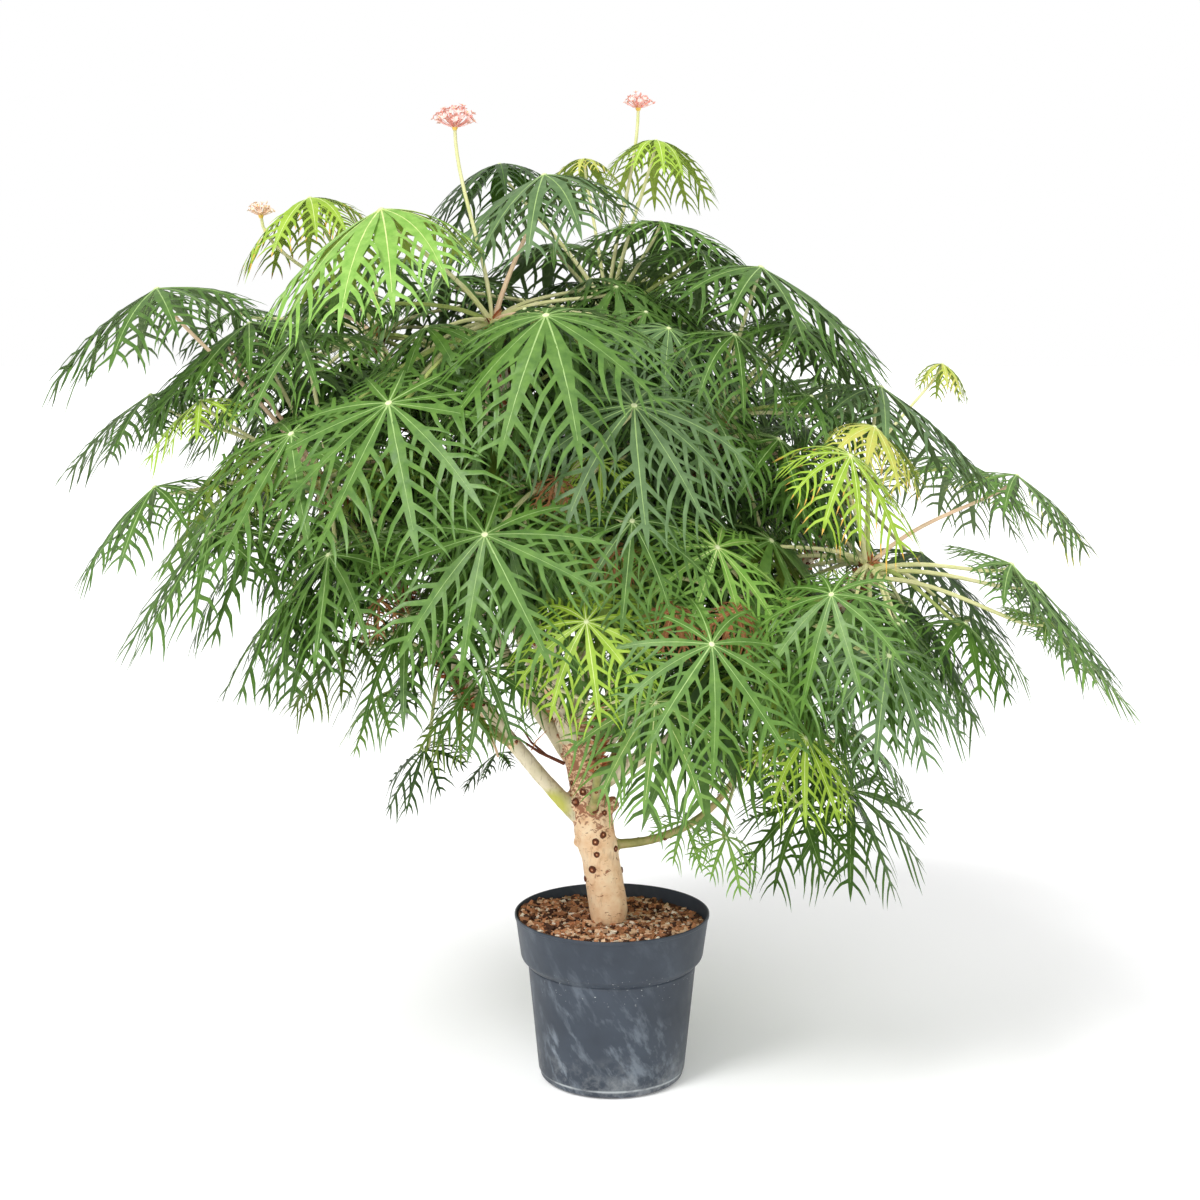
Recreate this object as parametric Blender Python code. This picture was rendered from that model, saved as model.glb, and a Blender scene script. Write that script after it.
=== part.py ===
"""A potted coral plant: a tub of potting bark, a leaning trunk, its boughs, and the rosettes that they carry.

Metres, +Z up. The origin is the centre of the tub's flat underside. A bearing is counted in degrees from +X towards
+Y, so the plant's front, its fuller side, is at -90. Every limb and leaf is worked out from the sizes below.
"""

import itertools
import math
import random
from collections import namedtuple

import bmesh
import bpy
from mathutils import Quaternion, Vector
from mathutils.bvhtree import BVHTree

GAP = 0.0003  # between pieces that touch
UP = Vector((0, 0, 1))
DOWN = -UP
SEED = 7

# The tub: a thin plastic growing pot with a stepped collar
POT_HEIGHT = 0.209
RIM_RADIUS = 0.1205
COLLAR_FOOT_RADIUS = 0.1130
COLLAR_HEIGHT = 0.052
STEP_HEIGHT = 0.013
BODY_TOP_RADIUS = 0.1040
BODY_FOOT_RADIUS = 0.0900
FOOT_ROUNDING = 0.009
POT_WALL = 0.0022
POT_SIDES = 32
SOIL_BELOW_RIM = 0.013

# The trunk, from its flat cut on the soil to the fork
SOIL_TOP = POT_HEIGHT - SOIL_BELOW_RIM
TRUNK_BASE = Vector((-0.007, 0.0, SOIL_TOP + GAP))
TRUNK_BEND = Vector((-0.016, 0.0, 0.300))
TRUNK_TOP = Vector((-0.046, 0.008, 0.430))
TRUNK_FOOT = 0.016
TRUNK_RADIUS = 0.0245
TRUNK_TOP_RADIUS = 0.0165
ROOT_FLARE = 0.0035
FORK_SWELL = 0.0040
TRUNK_SIDES = 12

# Boughs and the stem inside each mass
BOUGH_SIDES = 6
BOUGH_STEPS = 6
BOUGH_TAPER = 0.35  # the share of its radius that a bough loses by its tip
LEAVE_PULL, ARRIVE_PULL = 0.40, 0.35  # how far a bough keeps its first and last way, as shares of its length
STEM_LENGTH = 0.045
STEM_SIDES = 5
STEM_TAPER = 0.75
STEM_PAST = 0.006  # the stem goes on past where its leaves leave it

# Leaves: lobes round a hub, each cut into a pair of side teeth and a tip
LOBES, FEW_LOBES = 8, 7
SMALL_SPAN = 0.20  # a leaf under this span has fewer lobes
CUP = math.radians(12)  # how far a lobe leaves the hub below the leaf's own plane
SHORTEST_LOBE = 0.68  # the lobe beside the petiole, as a share of the longest
NOTCH, TOOTH, VALLEY = 0.13, 0.46, 0.60  # places along a lobe, as shares of its length
VALLEY_HALF = 0.035  # half its width at the valley
TOOTH_FORWARD, TOOTH_ASIDE, TOOTH_SAG = 0.20, 0.175, 0.03
RIB_THICK, HUB_THICK = 0.020, 0.030  # as shares of the lobe's length
RIB_STEPS = 6
PETIOLE_RADIUS = 0.0024
PETIOLE_SIDES = 3
PETIOLE_STEPS = 3
LEAF_CLEAR = 1.035  # a leaf's own shape, grown by this, stays clear of the other masses
ROLLS = (0, 12, -12, 20, -20)  # turns of a blade on its petiole that are tried, in degrees
SHRINKS = (1.0, 0.88, 0.76)  # and its sizes

# How far a blade leans outwards: little at the top of the crown, more lower down, and most at the front
CROWN_TOP, CROWN_LOW = 1.10, 0.70
LEAN_TOP, LEAN_LOW, LEAN_FRONT = 14.0, 10.0, 26.0

Bough = namedtuple("Bough", "carrier share bearing reach height radius leave arrive")
Leaf = namedtuple("Leaf", "bearing reach height span droop", defaults=(0.75,))
Ring = namedtuple("Ring", "turn leaves reach height span")
Flower = namedtuple("Flower", "bearing reach height width")

# Each bough leaves its carrier at a share of its length and rises to a shoot's tip, which is given by its bearing,
# reach and height. leave and arrive are its rise in degrees at either end.
BOUGHS = {
    "front_left": Bough("trunk", 0.90, -150, 0.160, 0.930, 0.0105, 60, 75),
    "left": Bough("trunk", 0.55, 187, 0.350, 0.745, 0.0100, 46, 52),
    "upper_left": Bough("trunk", 0.84, 160, 0.310, 0.910, 0.0095, 48, 66),
    "crown_top": Bough("trunk", 0.97, 92, 0.130, 0.940, 0.0110, 78, 80),
    "front": Bough("front_left", 0.18, -118, 0.140, 0.740, 0.0085, 50, 75),
    "upper_right": Bough("trunk", 0.90, -4, 0.125, 0.810, 0.0095, 62, 72),
    "right": Bough("trunk", 0.74, -19, 0.310, 0.655, 0.0100, 40, 62),
    "right_front": Bough("right", 0.42, -42, 0.225, 0.610, 0.0065, 30, 60),
    "lower_right": Bough("trunk", 0.50, 4, 0.170, 0.405, 0.0065, -6, 58),
    "front_low": Bough("trunk", 0.64, -96, 0.130, 0.490, 0.0065, 30, 65),
    "lower_left": Bough("left", 0.28, -163, 0.215, 0.535, 0.0055, 20, 55),
    "back_left": Bough("trunk", 0.78, 124, 0.360, 0.750, 0.0095, 42, 58),
    "back": Bough("crown_top", 0.22, 80, 0.360, 0.790, 0.0085, 40, 60),
    "back_right": Bough("trunk", 0.86, 36, 0.390, 0.710, 0.0095, 40, 55),
    "back_low": Bough("trunk", 0.68, 76, 0.220, 0.510, 0.0065, 35, 60),
}

# The leaves of each mass, by the bearing, reach and height of the hub and the span from tip to tip
LEAVES = {
    "front_left": (
        Leaf(-150, 0.295, 1.055, 0.37, 1.3),
        Leaf(-159, 0.085, 1.100, 0.37),
        Leaf(-106, 0.260, 0.940, 0.41),
        Leaf(-128, 0.380, 0.850, 0.41),
        Leaf(-144, 0.425, 0.815, 0.39),
    ),
    "left": (
        Leaf(-175, 0.530, 0.970, 0.38),
        Leaf(178, 0.555, 0.845, 0.30),
        Leaf(-169, 0.535, 0.745, 0.31),
        Leaf(-164, 0.475, 0.695, 0.36),
        Leaf(-141, 0.395, 0.685, 0.32),
        Leaf(180, 0.430, 0.930, 0.36),
    ),
    "upper_left": (
        Leaf(168, 0.375, 1.080, 0.28, 1.3),
        Leaf(146, 0.370, 1.010, 0.34),
        Leaf(151, 0.520, 0.850, 0.34),
    ),
    "crown_top": (
        Leaf(133, 0.205, 1.125, 0.30, 1.2),
        Leaf(100, 0.200, 1.135, 0.16, 1.2),
        Leaf(62, 0.115, 1.150, 0.25, 1.3),
        Leaf(107, 0.250, 1.030, 0.36),
        Leaf(64, 0.200, 1.035, 0.34),
        Leaf(154, 0.230, 0.985, 0.36),
        Leaf(75, 0.330, 0.960, 0.34),
    ),
    "front": (
        Leaf(-110, 0.385, 0.720, 0.35),
        Leaf(-95, 0.330, 0.625, 0.23),
        Leaf(-85, 0.250, 0.845, 0.36),
        Leaf(-140, 0.300, 0.610, 0.30),
        Leaf(-86, 0.280, 0.725, 0.26),
    ),
    "upper_right": (
        Leaf(-7, 0.175, 0.995, 0.42),
        Leaf(-58, 0.120, 0.925, 0.28),
        Leaf(22, 0.320, 0.945, 0.36),
        Leaf(-28, 0.215, 0.800, 0.32),
    ),
    "right": (
        Leaf(-22, 0.320, 0.815, 0.21, 1.2),
        Leaf(-41, 0.340, 0.790, 0.26, 1.0),
        Leaf(0, 0.320, 0.855, 0.40),
        Leaf(0, 0.485, 0.750, 0.28),
        Leaf(-25, 0.470, 0.690, 0.50, 0.50),
        Leaf(0, 0.410, 0.595, 0.40, 1.0),
    ),
    "right_front": (
        Leaf(-63, 0.250, 0.690, 0.28),
        Leaf(-74, 0.365, 0.605, 0.30),
        Leaf(-53, 0.380, 0.650, 0.32),
        Leaf(-36, 0.380, 0.570, 0.35),
        Leaf(-44, 0.290, 0.540, 0.30),
    ),
    "lower_right": (
        Leaf(-13, 0.235, 0.445, 0.24),
        Leaf(9, 0.305, 0.350, 0.36, 1.2),
        Leaf(-49, 0.130, 0.350, 0.13),
        Leaf(-49, 0.200, 0.345, 0.14),
        Leaf(-28, 0.310, 0.440, 0.28),
    ),
    "front_low": (
        Leaf(-80, 0.260, 0.525, 0.27),
        Leaf(-118, 0.240, 0.540, 0.22),
    ),
    "lower_left": (
        Leaf(-171, 0.315, 0.560, 0.26),
        Leaf(-163, 0.340, 0.605, 0.17),
        Leaf(-151, 0.250, 0.441, 0.18),
        Leaf(-143, 0.220, 0.500, 0.19),
    ),
    "back_right": (Leaf(34, 0.540, 0.870, 0.17, 1.2),),
}

# The rosettes at the back stand round their shoots by the golden angle, in a ring that falls as it goes
RINGS = {
    "back_left": Ring(60, 6, 0.190, 0.13, 0.36),
    "back": Ring(60, 6, 0.190, 0.13, 0.36),
    "back_right": Ring(100, 5, 0.190, 0.14, 0.36),
    "back_low": Ring(95, 3, 0.160, 0.03, 0.28),
}
RING_FALL = 0.050
GOLDEN_ANGLE = 137.5

FLOWERS = {
    "front_left": Flower(-156, 0.195, 1.149, 0.046),
    "upper_left": Flower(169, 0.435, 1.059, 0.030),
    "crown_top": Flower(75, 0.125, 1.190, 0.034),
}
PEDUNCLE_RADIUS = 0.0021
FLOWER_SIDES = 8

COLOURS = {
    "pot": (0.045, 0.062, 0.085),
    "soil": (0.13, 0.055, 0.022),
    "bark": (0.56, 0.39, 0.24),
    "leaf": (0.045, 0.16, 0.050),
}
ROUGHNESS = {"pot": 0.45, "soil": 0.95, "bark": 0.75, "leaf": 0.50}


def clear_scene():
    for thing in list(bpy.data.objects):
        bpy.data.objects.remove(thing, do_unlink=True)


def material(name):
    """The Principled material of one kind of surface, made once."""
    found = bpy.data.materials.get(name)
    if found:
        return found
    made = bpy.data.materials.new(name)
    made.use_nodes = True
    shader = made.node_tree.nodes["Principled BSDF"]
    shader.inputs["Base Color"].default_value = (*COLOURS[name], 1)
    shader.inputs["Roughness"].default_value = ROUGHNESS[name]
    return made


def polar(bearing, reach, height):
    angle = math.radians(bearing)
    return Vector((reach * math.cos(angle), reach * math.sin(angle), height))


def heading(bearing, rise):
    """The unit vector that points along a bearing and rises by so many degrees."""
    return polar(bearing, math.cos(math.radians(rise)), math.sin(math.radians(rise)))


def bezier(a, b, c, d, steps):
    """Points along a cubic curve from a to d, steered by b and c."""
    found = []
    for k in range(steps + 1):
        t = k / steps
        s = 1 - t
        found.append(a * s**3 + b * (3 * s * s * t) + c * (3 * s * t * t) + d * t**3)
    return found


def point_at(path, share):
    """The point a share of the way along a path, by its count of points."""
    place = share * (len(path) - 1)
    k = min(int(place), len(path) - 2)
    return path[k].lerp(path[k + 1], place - k)


def new_object(name, bm, kind, smooth=True):
    bmesh.ops.recalc_face_normals(bm, faces=bm.faces)
    mesh = bpy.data.meshes.new(name)
    bm.to_mesh(mesh)
    bm.free()
    mesh.materials.append(material(kind))
    if smooth:
        mesh.shade_smooth()
        mesh.set_sharp_from_angle(angle=math.radians(40))
    made = bpy.data.objects.new(name, mesh)
    bpy.context.scene.collection.objects.link(made)
    return made


def tube(path, radii, sides):
    """A closed bmesh tube along a path, whose rings turn with it without twisting. Its end rings are flat caps."""
    bm = bmesh.new()
    side = None
    rings = []
    for k, centre in enumerate(path):
        along = (path[min(k + 1, len(path) - 1)] - path[max(k - 1, 0)]).normalized()
        if side is None:
            side = along.orthogonal()
        side = (side - along * side.dot(along)).normalized()
        other = along.cross(side)
        ring = []
        for j in range(sides):
            angle = 2 * math.pi * j / sides
            offset = side * math.cos(angle) + other * math.sin(angle)
            ring.append(bm.verts.new(centre + offset * radii[k]))
        rings.append(ring)
    for low, high in zip(rings, rings[1:]):
        for j in range(sides):
            bm.faces.new((low[j], low[(j + 1) % sides], high[(j + 1) % sides], high[j]))
    bm.faces.new(rings[0][::-1])
    bm.faces.new(rings[-1])
    return bm


def lathe(name, profile, kind, sides):
    """A solid turned about the Z axis from a closed outline of (radius, height) that starts and ends on the axis."""
    bm = bmesh.new()
    verts = [bm.verts.new((radius, 0, height)) for radius, height in profile]
    edges = [bm.edges.new(pair) for pair in zip(verts, verts[1:])]
    bmesh.ops.spin(
        bm, geom=verts + edges, axis=UP, cent=(0, 0, 0), steps=sides, angle=2 * math.pi, use_duplicate=False
    )
    bmesh.ops.remove_doubles(bm, verts=bm.verts, dist=1e-5)
    return new_object(name, bm, kind)


def body_radius(height):
    """The outside of the tub's body at a height under the collar."""
    top = POT_HEIGHT - COLLAR_HEIGHT - STEP_HEIGHT
    return BODY_FOOT_RADIUS + (BODY_TOP_RADIUS - BODY_FOOT_RADIUS) * height / top


def make_pot():
    collar_foot = POT_HEIGHT - COLLAR_HEIGHT
    outside = [
        (0, 0),
        (BODY_FOOT_RADIUS - FOOT_ROUNDING, 0),
        (BODY_FOOT_RADIUS - 0.25 * FOOT_ROUNDING, 0.35 * FOOT_ROUNDING),
        (body_radius(1.3 * FOOT_ROUNDING), 1.3 * FOOT_ROUNDING),
        (BODY_TOP_RADIUS, collar_foot - STEP_HEIGHT),
        (COLLAR_FOOT_RADIUS, collar_foot),
        (RIM_RADIUS, POT_HEIGHT),
    ]
    inside = [
        (RIM_RADIUS - POT_WALL, POT_HEIGHT),
        (COLLAR_FOOT_RADIUS - POT_WALL, collar_foot),
        (BODY_TOP_RADIUS - POT_WALL, collar_foot - STEP_HEIGHT),
        (body_radius(FOOT_ROUNDING) - POT_WALL, FOOT_ROUNDING),
        (BODY_FOOT_RADIUS - FOOT_ROUNDING - POT_WALL, POT_WALL),
        (0, POT_WALL),
    ]
    return lathe("pot", outside + inside, "pot", POT_SIDES)


def make_soil():
    """The potting bark: it fills the tub to just under its rim, and stands clear of its wall all over."""
    inset = POT_WALL + GAP
    collar_foot = POT_HEIGHT - COLLAR_HEIGHT
    slope = (RIM_RADIUS - COLLAR_FOOT_RADIUS) / COLLAR_HEIGHT
    profile = [
        (0, POT_WALL + GAP),
        (BODY_FOOT_RADIUS - FOOT_ROUNDING - inset - GAP, POT_WALL + GAP),
        (body_radius(FOOT_ROUNDING) - inset - GAP, FOOT_ROUNDING + GAP),
        (BODY_TOP_RADIUS - inset, collar_foot - STEP_HEIGHT),
        (COLLAR_FOOT_RADIUS - inset, collar_foot),
        (COLLAR_FOOT_RADIUS - inset + slope * (SOIL_TOP - collar_foot), SOIL_TOP),
        (0, SOIL_TOP),
    ]
    return lathe("soil", profile, "soil", POT_SIDES)


def trunk_path():
    """The trunk leaves the soil upright, over a short foot, so that its cut is flat."""
    foot = TRUNK_BASE + UP * TRUNK_FOOT
    low = foot.lerp(TRUNK_BEND, 0.6)
    high = TRUNK_BEND + (TRUNK_TOP - TRUNK_BEND) * 0.35
    return [TRUNK_BASE, *bezier(foot, low, high, TRUNK_TOP, 8)]


def trunk_radii(path):
    """A slow taper, with a flare at the soil and a swelling where the boughs leave."""
    found = []
    for k in range(len(path)):
        share = k / (len(path) - 1)
        radius = TRUNK_RADIUS + (TRUNK_TOP_RADIUS - TRUNK_RADIUS) * share**1.6
        radius += ROOT_FLARE * math.exp(-share / 0.06)
        radius += FORK_SWELL * math.exp(-(((share - 0.6) / 0.13) ** 2))
        found.append(radius)
    return found


def bough_path(bough, carriers):
    """The bough's own points, and the way in which the shoot's stem goes on from its tip."""
    start = point_at(carriers[bough.carrier][0], bough.share)
    shoot = polar(bough.bearing, bough.reach, bough.height)
    outward = math.degrees(math.atan2(shoot.y - start.y, shoot.x - start.x))
    final = heading(outward, bough.arrive)
    tip = shoot - final * STEM_LENGTH
    length = (tip - start).length
    first = start + heading(outward, bough.leave) * LEAVE_PULL * length
    path = bezier(start, first, tip - final * ARRIVE_PULL * length, tip, BOUGH_STEPS)
    return path, (path[-1] - path[-2]).normalized()


def bough_radii(bough, path):
    return [bough.radius * (1 - BOUGH_TAPER * k / (len(path) - 1)) for k in range(len(path))]


def tree_of(bm):
    """The search tree of a bmesh's faces."""
    bmesh.ops.recalc_face_normals(bm, faces=bm.faces)
    return BVHTree.FromBMesh(bm)


def obstacle_of(thing):
    """What a later piece has to keep clear of."""
    bm = bmesh.new()
    bm.from_mesh(thing.data)
    found = tree_of(bm)
    bm.free()
    return found


def cut_clear(limb, carrier_path, carrier_radii, sides):
    """Shapes a limb's foot to an older limb that it meets, a gap clear of it."""
    foot = (carrier_path[0] - carrier_path[1]).normalized() * GAP
    tip = (carrier_path[-1] - carrier_path[-2]).normalized() * GAP
    longer = [carrier_path[0] + foot, *carrier_path[1:-1], carrier_path[-1] + tip]
    grown = tube(longer, [radius + GAP for radius in carrier_radii], sides)
    if not tree_of(grown).overlap(obstacle_of(limb)):
        grown.free()
        return
    cutter = new_object(limb.name + "_cutter", grown, "bark", smooth=False)
    cutter.hide_render = True
    cutter.display_type = "WIRE"
    cut = limb.modifiers.new("foot", "BOOLEAN")
    cut.operation = "DIFFERENCE"
    cut.object = cutter
    apply_modifiers(limb)
    bpy.data.objects.remove(cutter, do_unlink=True)


def apply_modifiers(thing):
    """Puts the evaluated mesh in the object's place, and drops its modifiers."""
    bpy.context.view_layer.update()
    graph = bpy.context.evaluated_depsgraph_get()
    mesh = bpy.data.meshes.new_from_object(thing.evaluated_get(graph), depsgraph=graph)
    thing.modifiers.clear()
    thing.data = mesh


class Rib:
    """The midrib of one lobe: it leaves the hub under the leaf's plane and bends down by its own weight."""

    def __init__(self, hub, axis, out, length, droop):
        self.side = axis.cross(out)
        self.length = length
        start = (out * math.cos(CUP) - axis * math.sin(CUP)).normalized()
        self.points = [hub.copy()]
        self.ways = [start]
        for k in range(RIB_STEPS):
            share = (k + 1) / RIB_STEPS
            way = (start + DOWN * droop * share**1.4).normalized()
            self.points.append(self.points[-1] + way * length / RIB_STEPS)
            self.ways.append(way)

    def at(self, share, forward=0.0, aside=0.0, lift=0.0, sag=0.0):
        """A point near the rib: forward and aside in the blade, lift along its normal, and sag straight down."""
        place = share * RIB_STEPS
        k = min(int(place), RIB_STEPS - 1)
        centre = self.points[k].lerp(self.points[k + 1], place - k)
        way = self.ways[k].lerp(self.ways[k + 1], place - k).normalized()
        normal = way.cross(self.side)
        moved = way * forward + self.side * aside + DOWN * sag
        return centre + moved * self.length + normal * lift * self.length


def blade(bm, hub, axis, out, leaf, grow=1.0):
    """Adds one leaf's blade to bm as a closed solid: a star of lobes round a boss, thickest on their ribs."""
    length = leaf.span / 2 * grow
    lobes = LOBES if leaf.span > SMALL_SPAN else FEW_LOBES
    verts = {}
    for face in (1, -1):
        verts["hub", face] = bm.verts.new(hub + axis * face * HUB_THICK * length / 2)
    for j in range(lobes):
        angle = 2 * math.pi * j / lobes
        share = 1 - (1 - SHORTEST_LOBE) * (1 - math.cos(angle)) / 2
        rib = Rib(hub, axis, Quaternion(axis, angle) @ out, length * share, leaf.droop)
        between = Rib(hub, axis, Quaternion(axis, angle - math.pi / lobes) @ out, length * share, leaf.droop)
        verts["notch", j] = bm.verts.new(between.at(NOTCH))
        verts["tip", j] = bm.verts.new(rib.at(1.0))
        for face in (1, -1):
            verts["rib", j, face] = bm.verts.new(rib.at((TOOTH + VALLEY) / 2, lift=face * RIB_THICK / 2))
        for hand in (1, -1):
            tooth = rib.at(TOOTH, TOOTH_FORWARD, hand * TOOTH_ASIDE, sag=TOOTH_SAG)
            verts["tooth", j, hand] = bm.verts.new(tooth)
            verts["valley", j, hand] = bm.verts.new(rib.at(VALLEY, aside=hand * VALLEY_HALF))
    for j in range(lobes):
        for hand, notch in ((-1, verts["notch", j]), (1, verts["notch", (j + 1) % lobes])):
            edge = [notch, verts["tooth", j, hand], verts["valley", j, hand], verts["tip", j]]
            for face in (1, -1):
                centre = verts["rib", j, face]
                bm.faces.new((verts["hub", face], notch, centre))
                for a, b in zip(edge, edge[1:]):
                    bm.faces.new((a, b, centre))


def leaf_axis(leaf):
    """The way a blade faces: up, leaning outwards from the crown's middle."""
    low = min(1.0, max(0.0, (CROWN_TOP - leaf.height) / (CROWN_TOP - CROWN_LOW)))
    front = max(0.0, -math.sin(math.radians(leaf.bearing)))
    return heading(leaf.bearing, 90 - LEAN_TOP - low * (LEAN_LOW + LEAN_FRONT * front))


def petiole(shoot, hub, axis):
    """The stalk of a leaf: it leaves the shoot steeply and ends in the underside of the hub."""
    reach = (hub - shoot).length
    way = ((hub - shoot).normalized() + UP * 0.5).normalized()
    path = bezier(shoot, shoot + way * 0.4 * reach, hub - axis * 0.15 * reach, hub, PETIOLE_STEPS)
    radii = [PETIOLE_RADIUS * (1.25 - 0.5 * k / PETIOLE_STEPS) for k in range(PETIOLE_STEPS + 1)]
    return tube(path, radii, PETIOLE_SIDES)


def grow_leaf(shoot, leaf, obstacles):
    """The solids of one leaf, turned or made smaller until it clears the obstacles, or none where nothing does."""
    hub = polar(leaf.bearing, leaf.reach, leaf.height)
    axis = leaf_axis(leaf)
    flat = polar(leaf.bearing, 1, 0)
    out = (flat - axis * flat.dot(axis)).normalized()
    for shrink, roll in itertools.product(SHRINKS, ROLLS):
        turned = Quaternion(axis, math.radians(roll)) @ out
        smaller = leaf._replace(span=leaf.span * shrink)
        trial = petiole(shoot, hub, axis)
        blade(trial, hub, axis, turned, smaller, LEAF_CLEAR)
        grown = tree_of(trial)
        trial.free()
        if not any(grown.overlap(other) for other in obstacles):
            solid = bmesh.new()
            blade(solid, hub, axis, turned, smaller)
            return [solid, petiole(shoot, hub, axis)]
    return []


def flower(shoot, place):
    """A flat-topped head of small flowers on its upright stalk."""
    top = polar(place.bearing, place.reach, place.height)
    rise = (top - shoot).length
    stalk = bezier(shoot, shoot + UP * 0.3 * rise, top - UP * 0.3 * rise, top, PETIOLE_STEPS)
    half = place.width / 2
    head = [top + UP * half * step for step in (-0.9, -0.2, 0.35, 0.5)]
    radii = [half * share for share in (0.12, 0.75, 1.0, 0.55)]
    return [tube(stalk, [PEDUNCLE_RADIUS] * len(stalk), PETIOLE_SIDES + 1), tube(head, radii, FLOWER_SIDES)]


def ring_leaves(ring, shoot, rng):
    """Leaves round a shoot by the golden angle, each one lower and further out than the last."""
    found = []
    for k in range(ring.leaves):
        turn = ring.turn + k * GOLDEN_ANGLE
        step = k / max(1, ring.leaves - 1)
        reach = ring.reach * (0.62 + 0.38 * step)
        hub = shoot + polar(turn, reach, ring.height - RING_FALL * k)
        bearing = math.degrees(math.atan2(hub.y, hub.x))
        found.append(Leaf(bearing, math.hypot(hub.x, hub.y), hub.z, ring.span * rng.uniform(0.92, 1.08)))
    return tuple(found)


def join(name, pieces):
    """One Boolean union of all the pieces on the first of them."""
    base = new_object(name, pieces[0], "leaf", smooth=False)
    group = bpy.data.collections.new(name + "_parts")
    for k, piece in enumerate(pieces[1:]):
        part = new_object(f"{name}_part_{k}", piece, "leaf", smooth=False)
        bpy.context.scene.collection.objects.unlink(part)
        group.objects.link(part)
    union = base.modifiers.new("fuse", "BOOLEAN")
    union.operation = "UNION"
    union.operand_type = "COLLECTION"
    union.solver = "EXACT"
    union.collection = group
    apply_modifiers(base)
    for part in list(group.objects):
        bpy.data.objects.remove(part, do_unlink=True)
    bpy.data.collections.remove(group)
    return base


def make_limbs():
    """The trunk and the boughs, as objects, with each one's path and radii."""
    path = trunk_path()
    carriers = {"trunk": (path, trunk_radii(path), TRUNK_SIDES)}
    made = [new_object("trunk", tube(*carriers["trunk"]), "bark")]
    ends = {}
    for name, bough in BOUGHS.items():
        path, final = bough_path(bough, carriers)
        carriers[name] = (path, bough_radii(bough, path), BOUGH_SIDES)
        limb = new_object("bough_" + name, tube(*carriers[name]), "bark")
        for older in carriers:
            if older != name:
                cut_clear(limb, *carriers[older])
        ends[name] = (path[-1], final, carriers[name][1][-1])
        made.append(limb)
    return made, ends


def make_mass(name, end, wood, others, rng):
    """One rosette: a short stem that goes on from its bough's tip, its leaves, and its flower if it has one."""
    tip, final, radius = end
    foot = tip + final * GAP
    shoot = tip + final * STEM_LENGTH
    radii = [radius, radius * STEM_TAPER, radius * STEM_TAPER**2]
    pieces = [tube([foot, foot.lerp(shoot, 0.6), shoot + final * STEM_PAST], radii, STEM_SIDES)]
    leaves = LEAVES.get(name, ())
    if name in RINGS:
        leaves += ring_leaves(RINGS[name], shoot, rng)
    skipped = 0
    for leaf in leaves:
        found = grow_leaf(shoot, leaf, wood + others)
        skipped += not found
        pieces += found
    if name in FLOWERS:
        pieces += flower(shoot, FLOWERS[name])
    if skipped:
        print(f"mass_{name}: {skipped} of {len(leaves)} leaves had no room")
    return join("mass_" + name, pieces)


def main():
    clear_scene()
    rng = random.Random(SEED)
    wood = [obstacle_of(thing) for thing in (make_pot(), make_soil())]
    limbs, ends = make_limbs()
    wood += [obstacle_of(limb) for limb in limbs]
    others = []
    for name, end in ends.items():
        mass = make_mass(name, end, wood, others, rng)
        others.append(obstacle_of(mass))


main()
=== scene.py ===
"""The looks of a potted coral plant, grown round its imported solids.

Metres, +Z up, the origin at the centre of the pot's flat underside. A bearing is counted in degrees from +X towards
+Y, so the plant's front is at -90. Limbs and leaves follow the rule of the solids, carried on to finer growth.
"""

import random
from collections import namedtuple
from math import asin, atan2, cos, degrees, exp, hypot, pi, radians, sin, sqrt, tan

import bpy
import numpy as np
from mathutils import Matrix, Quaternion, Vector, noise
from mathutils.bvhtree import BVHTree


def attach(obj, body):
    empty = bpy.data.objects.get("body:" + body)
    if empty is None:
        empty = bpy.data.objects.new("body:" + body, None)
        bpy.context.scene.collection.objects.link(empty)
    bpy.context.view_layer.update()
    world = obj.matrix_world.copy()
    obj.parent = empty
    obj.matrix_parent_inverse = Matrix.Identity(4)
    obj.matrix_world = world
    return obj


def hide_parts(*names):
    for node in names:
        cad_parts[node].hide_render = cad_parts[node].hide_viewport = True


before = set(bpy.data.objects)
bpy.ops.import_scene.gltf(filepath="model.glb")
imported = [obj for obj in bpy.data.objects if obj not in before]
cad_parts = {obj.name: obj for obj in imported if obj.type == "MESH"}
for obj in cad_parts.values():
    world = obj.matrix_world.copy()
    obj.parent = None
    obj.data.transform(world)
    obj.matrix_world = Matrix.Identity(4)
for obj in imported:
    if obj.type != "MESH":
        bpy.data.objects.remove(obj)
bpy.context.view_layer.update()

UP = Vector((0, 0, 1))
DOWN = -UP
SEED = 7
GOLDEN_ANGLE = 137.5

# The pot and its soil
POT_HEIGHT = 0.209
RIM_RADIUS = 0.1205
COLLAR_FOOT_RADIUS = 0.1130
COLLAR_HEIGHT = 0.052
COLLAR_FOOT = POT_HEIGHT - COLLAR_HEIGHT
STEP_HEIGHT = 0.013
BODY_TOP_RADIUS = 0.1040
BODY_FOOT_RADIUS = 0.0900
FOOT_ROUNDING = 0.009
POT_WALL = 0.0022
POT_SIDES = 144
LIME_LINE = 0.0105  # the height of a fine step near the foot, where lime has dried
SOIL_TOP = 0.196
SOIL_RINGS, SOIL_SIDES = 26, 72
CHIPS = 2600
CHIP_KINDS = ["chip_dark"] * 6 + ["chip_brown"] * 7 + ["chip_red"] * 6 + ["chip_tan"] * 5 + ["chip_pale"] * 3

# The trunk
TRUNK_BASE = Vector((-0.004, 0.0, SOIL_TOP))
TRUNK_BEND = Vector((-0.016, 0.0, 0.300))
TRUNK_TOP = Vector((-0.046, 0.008, 0.430))
TRUNK_FOOT = 0.016
TRUNK_RADIUS = 0.0245
TRUNK_TOP_RADIUS = 0.0165
TRUNK_STEPS = 60
ROOT_WAIST = 0.0030
FORK_SWELL = 0.0040

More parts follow.
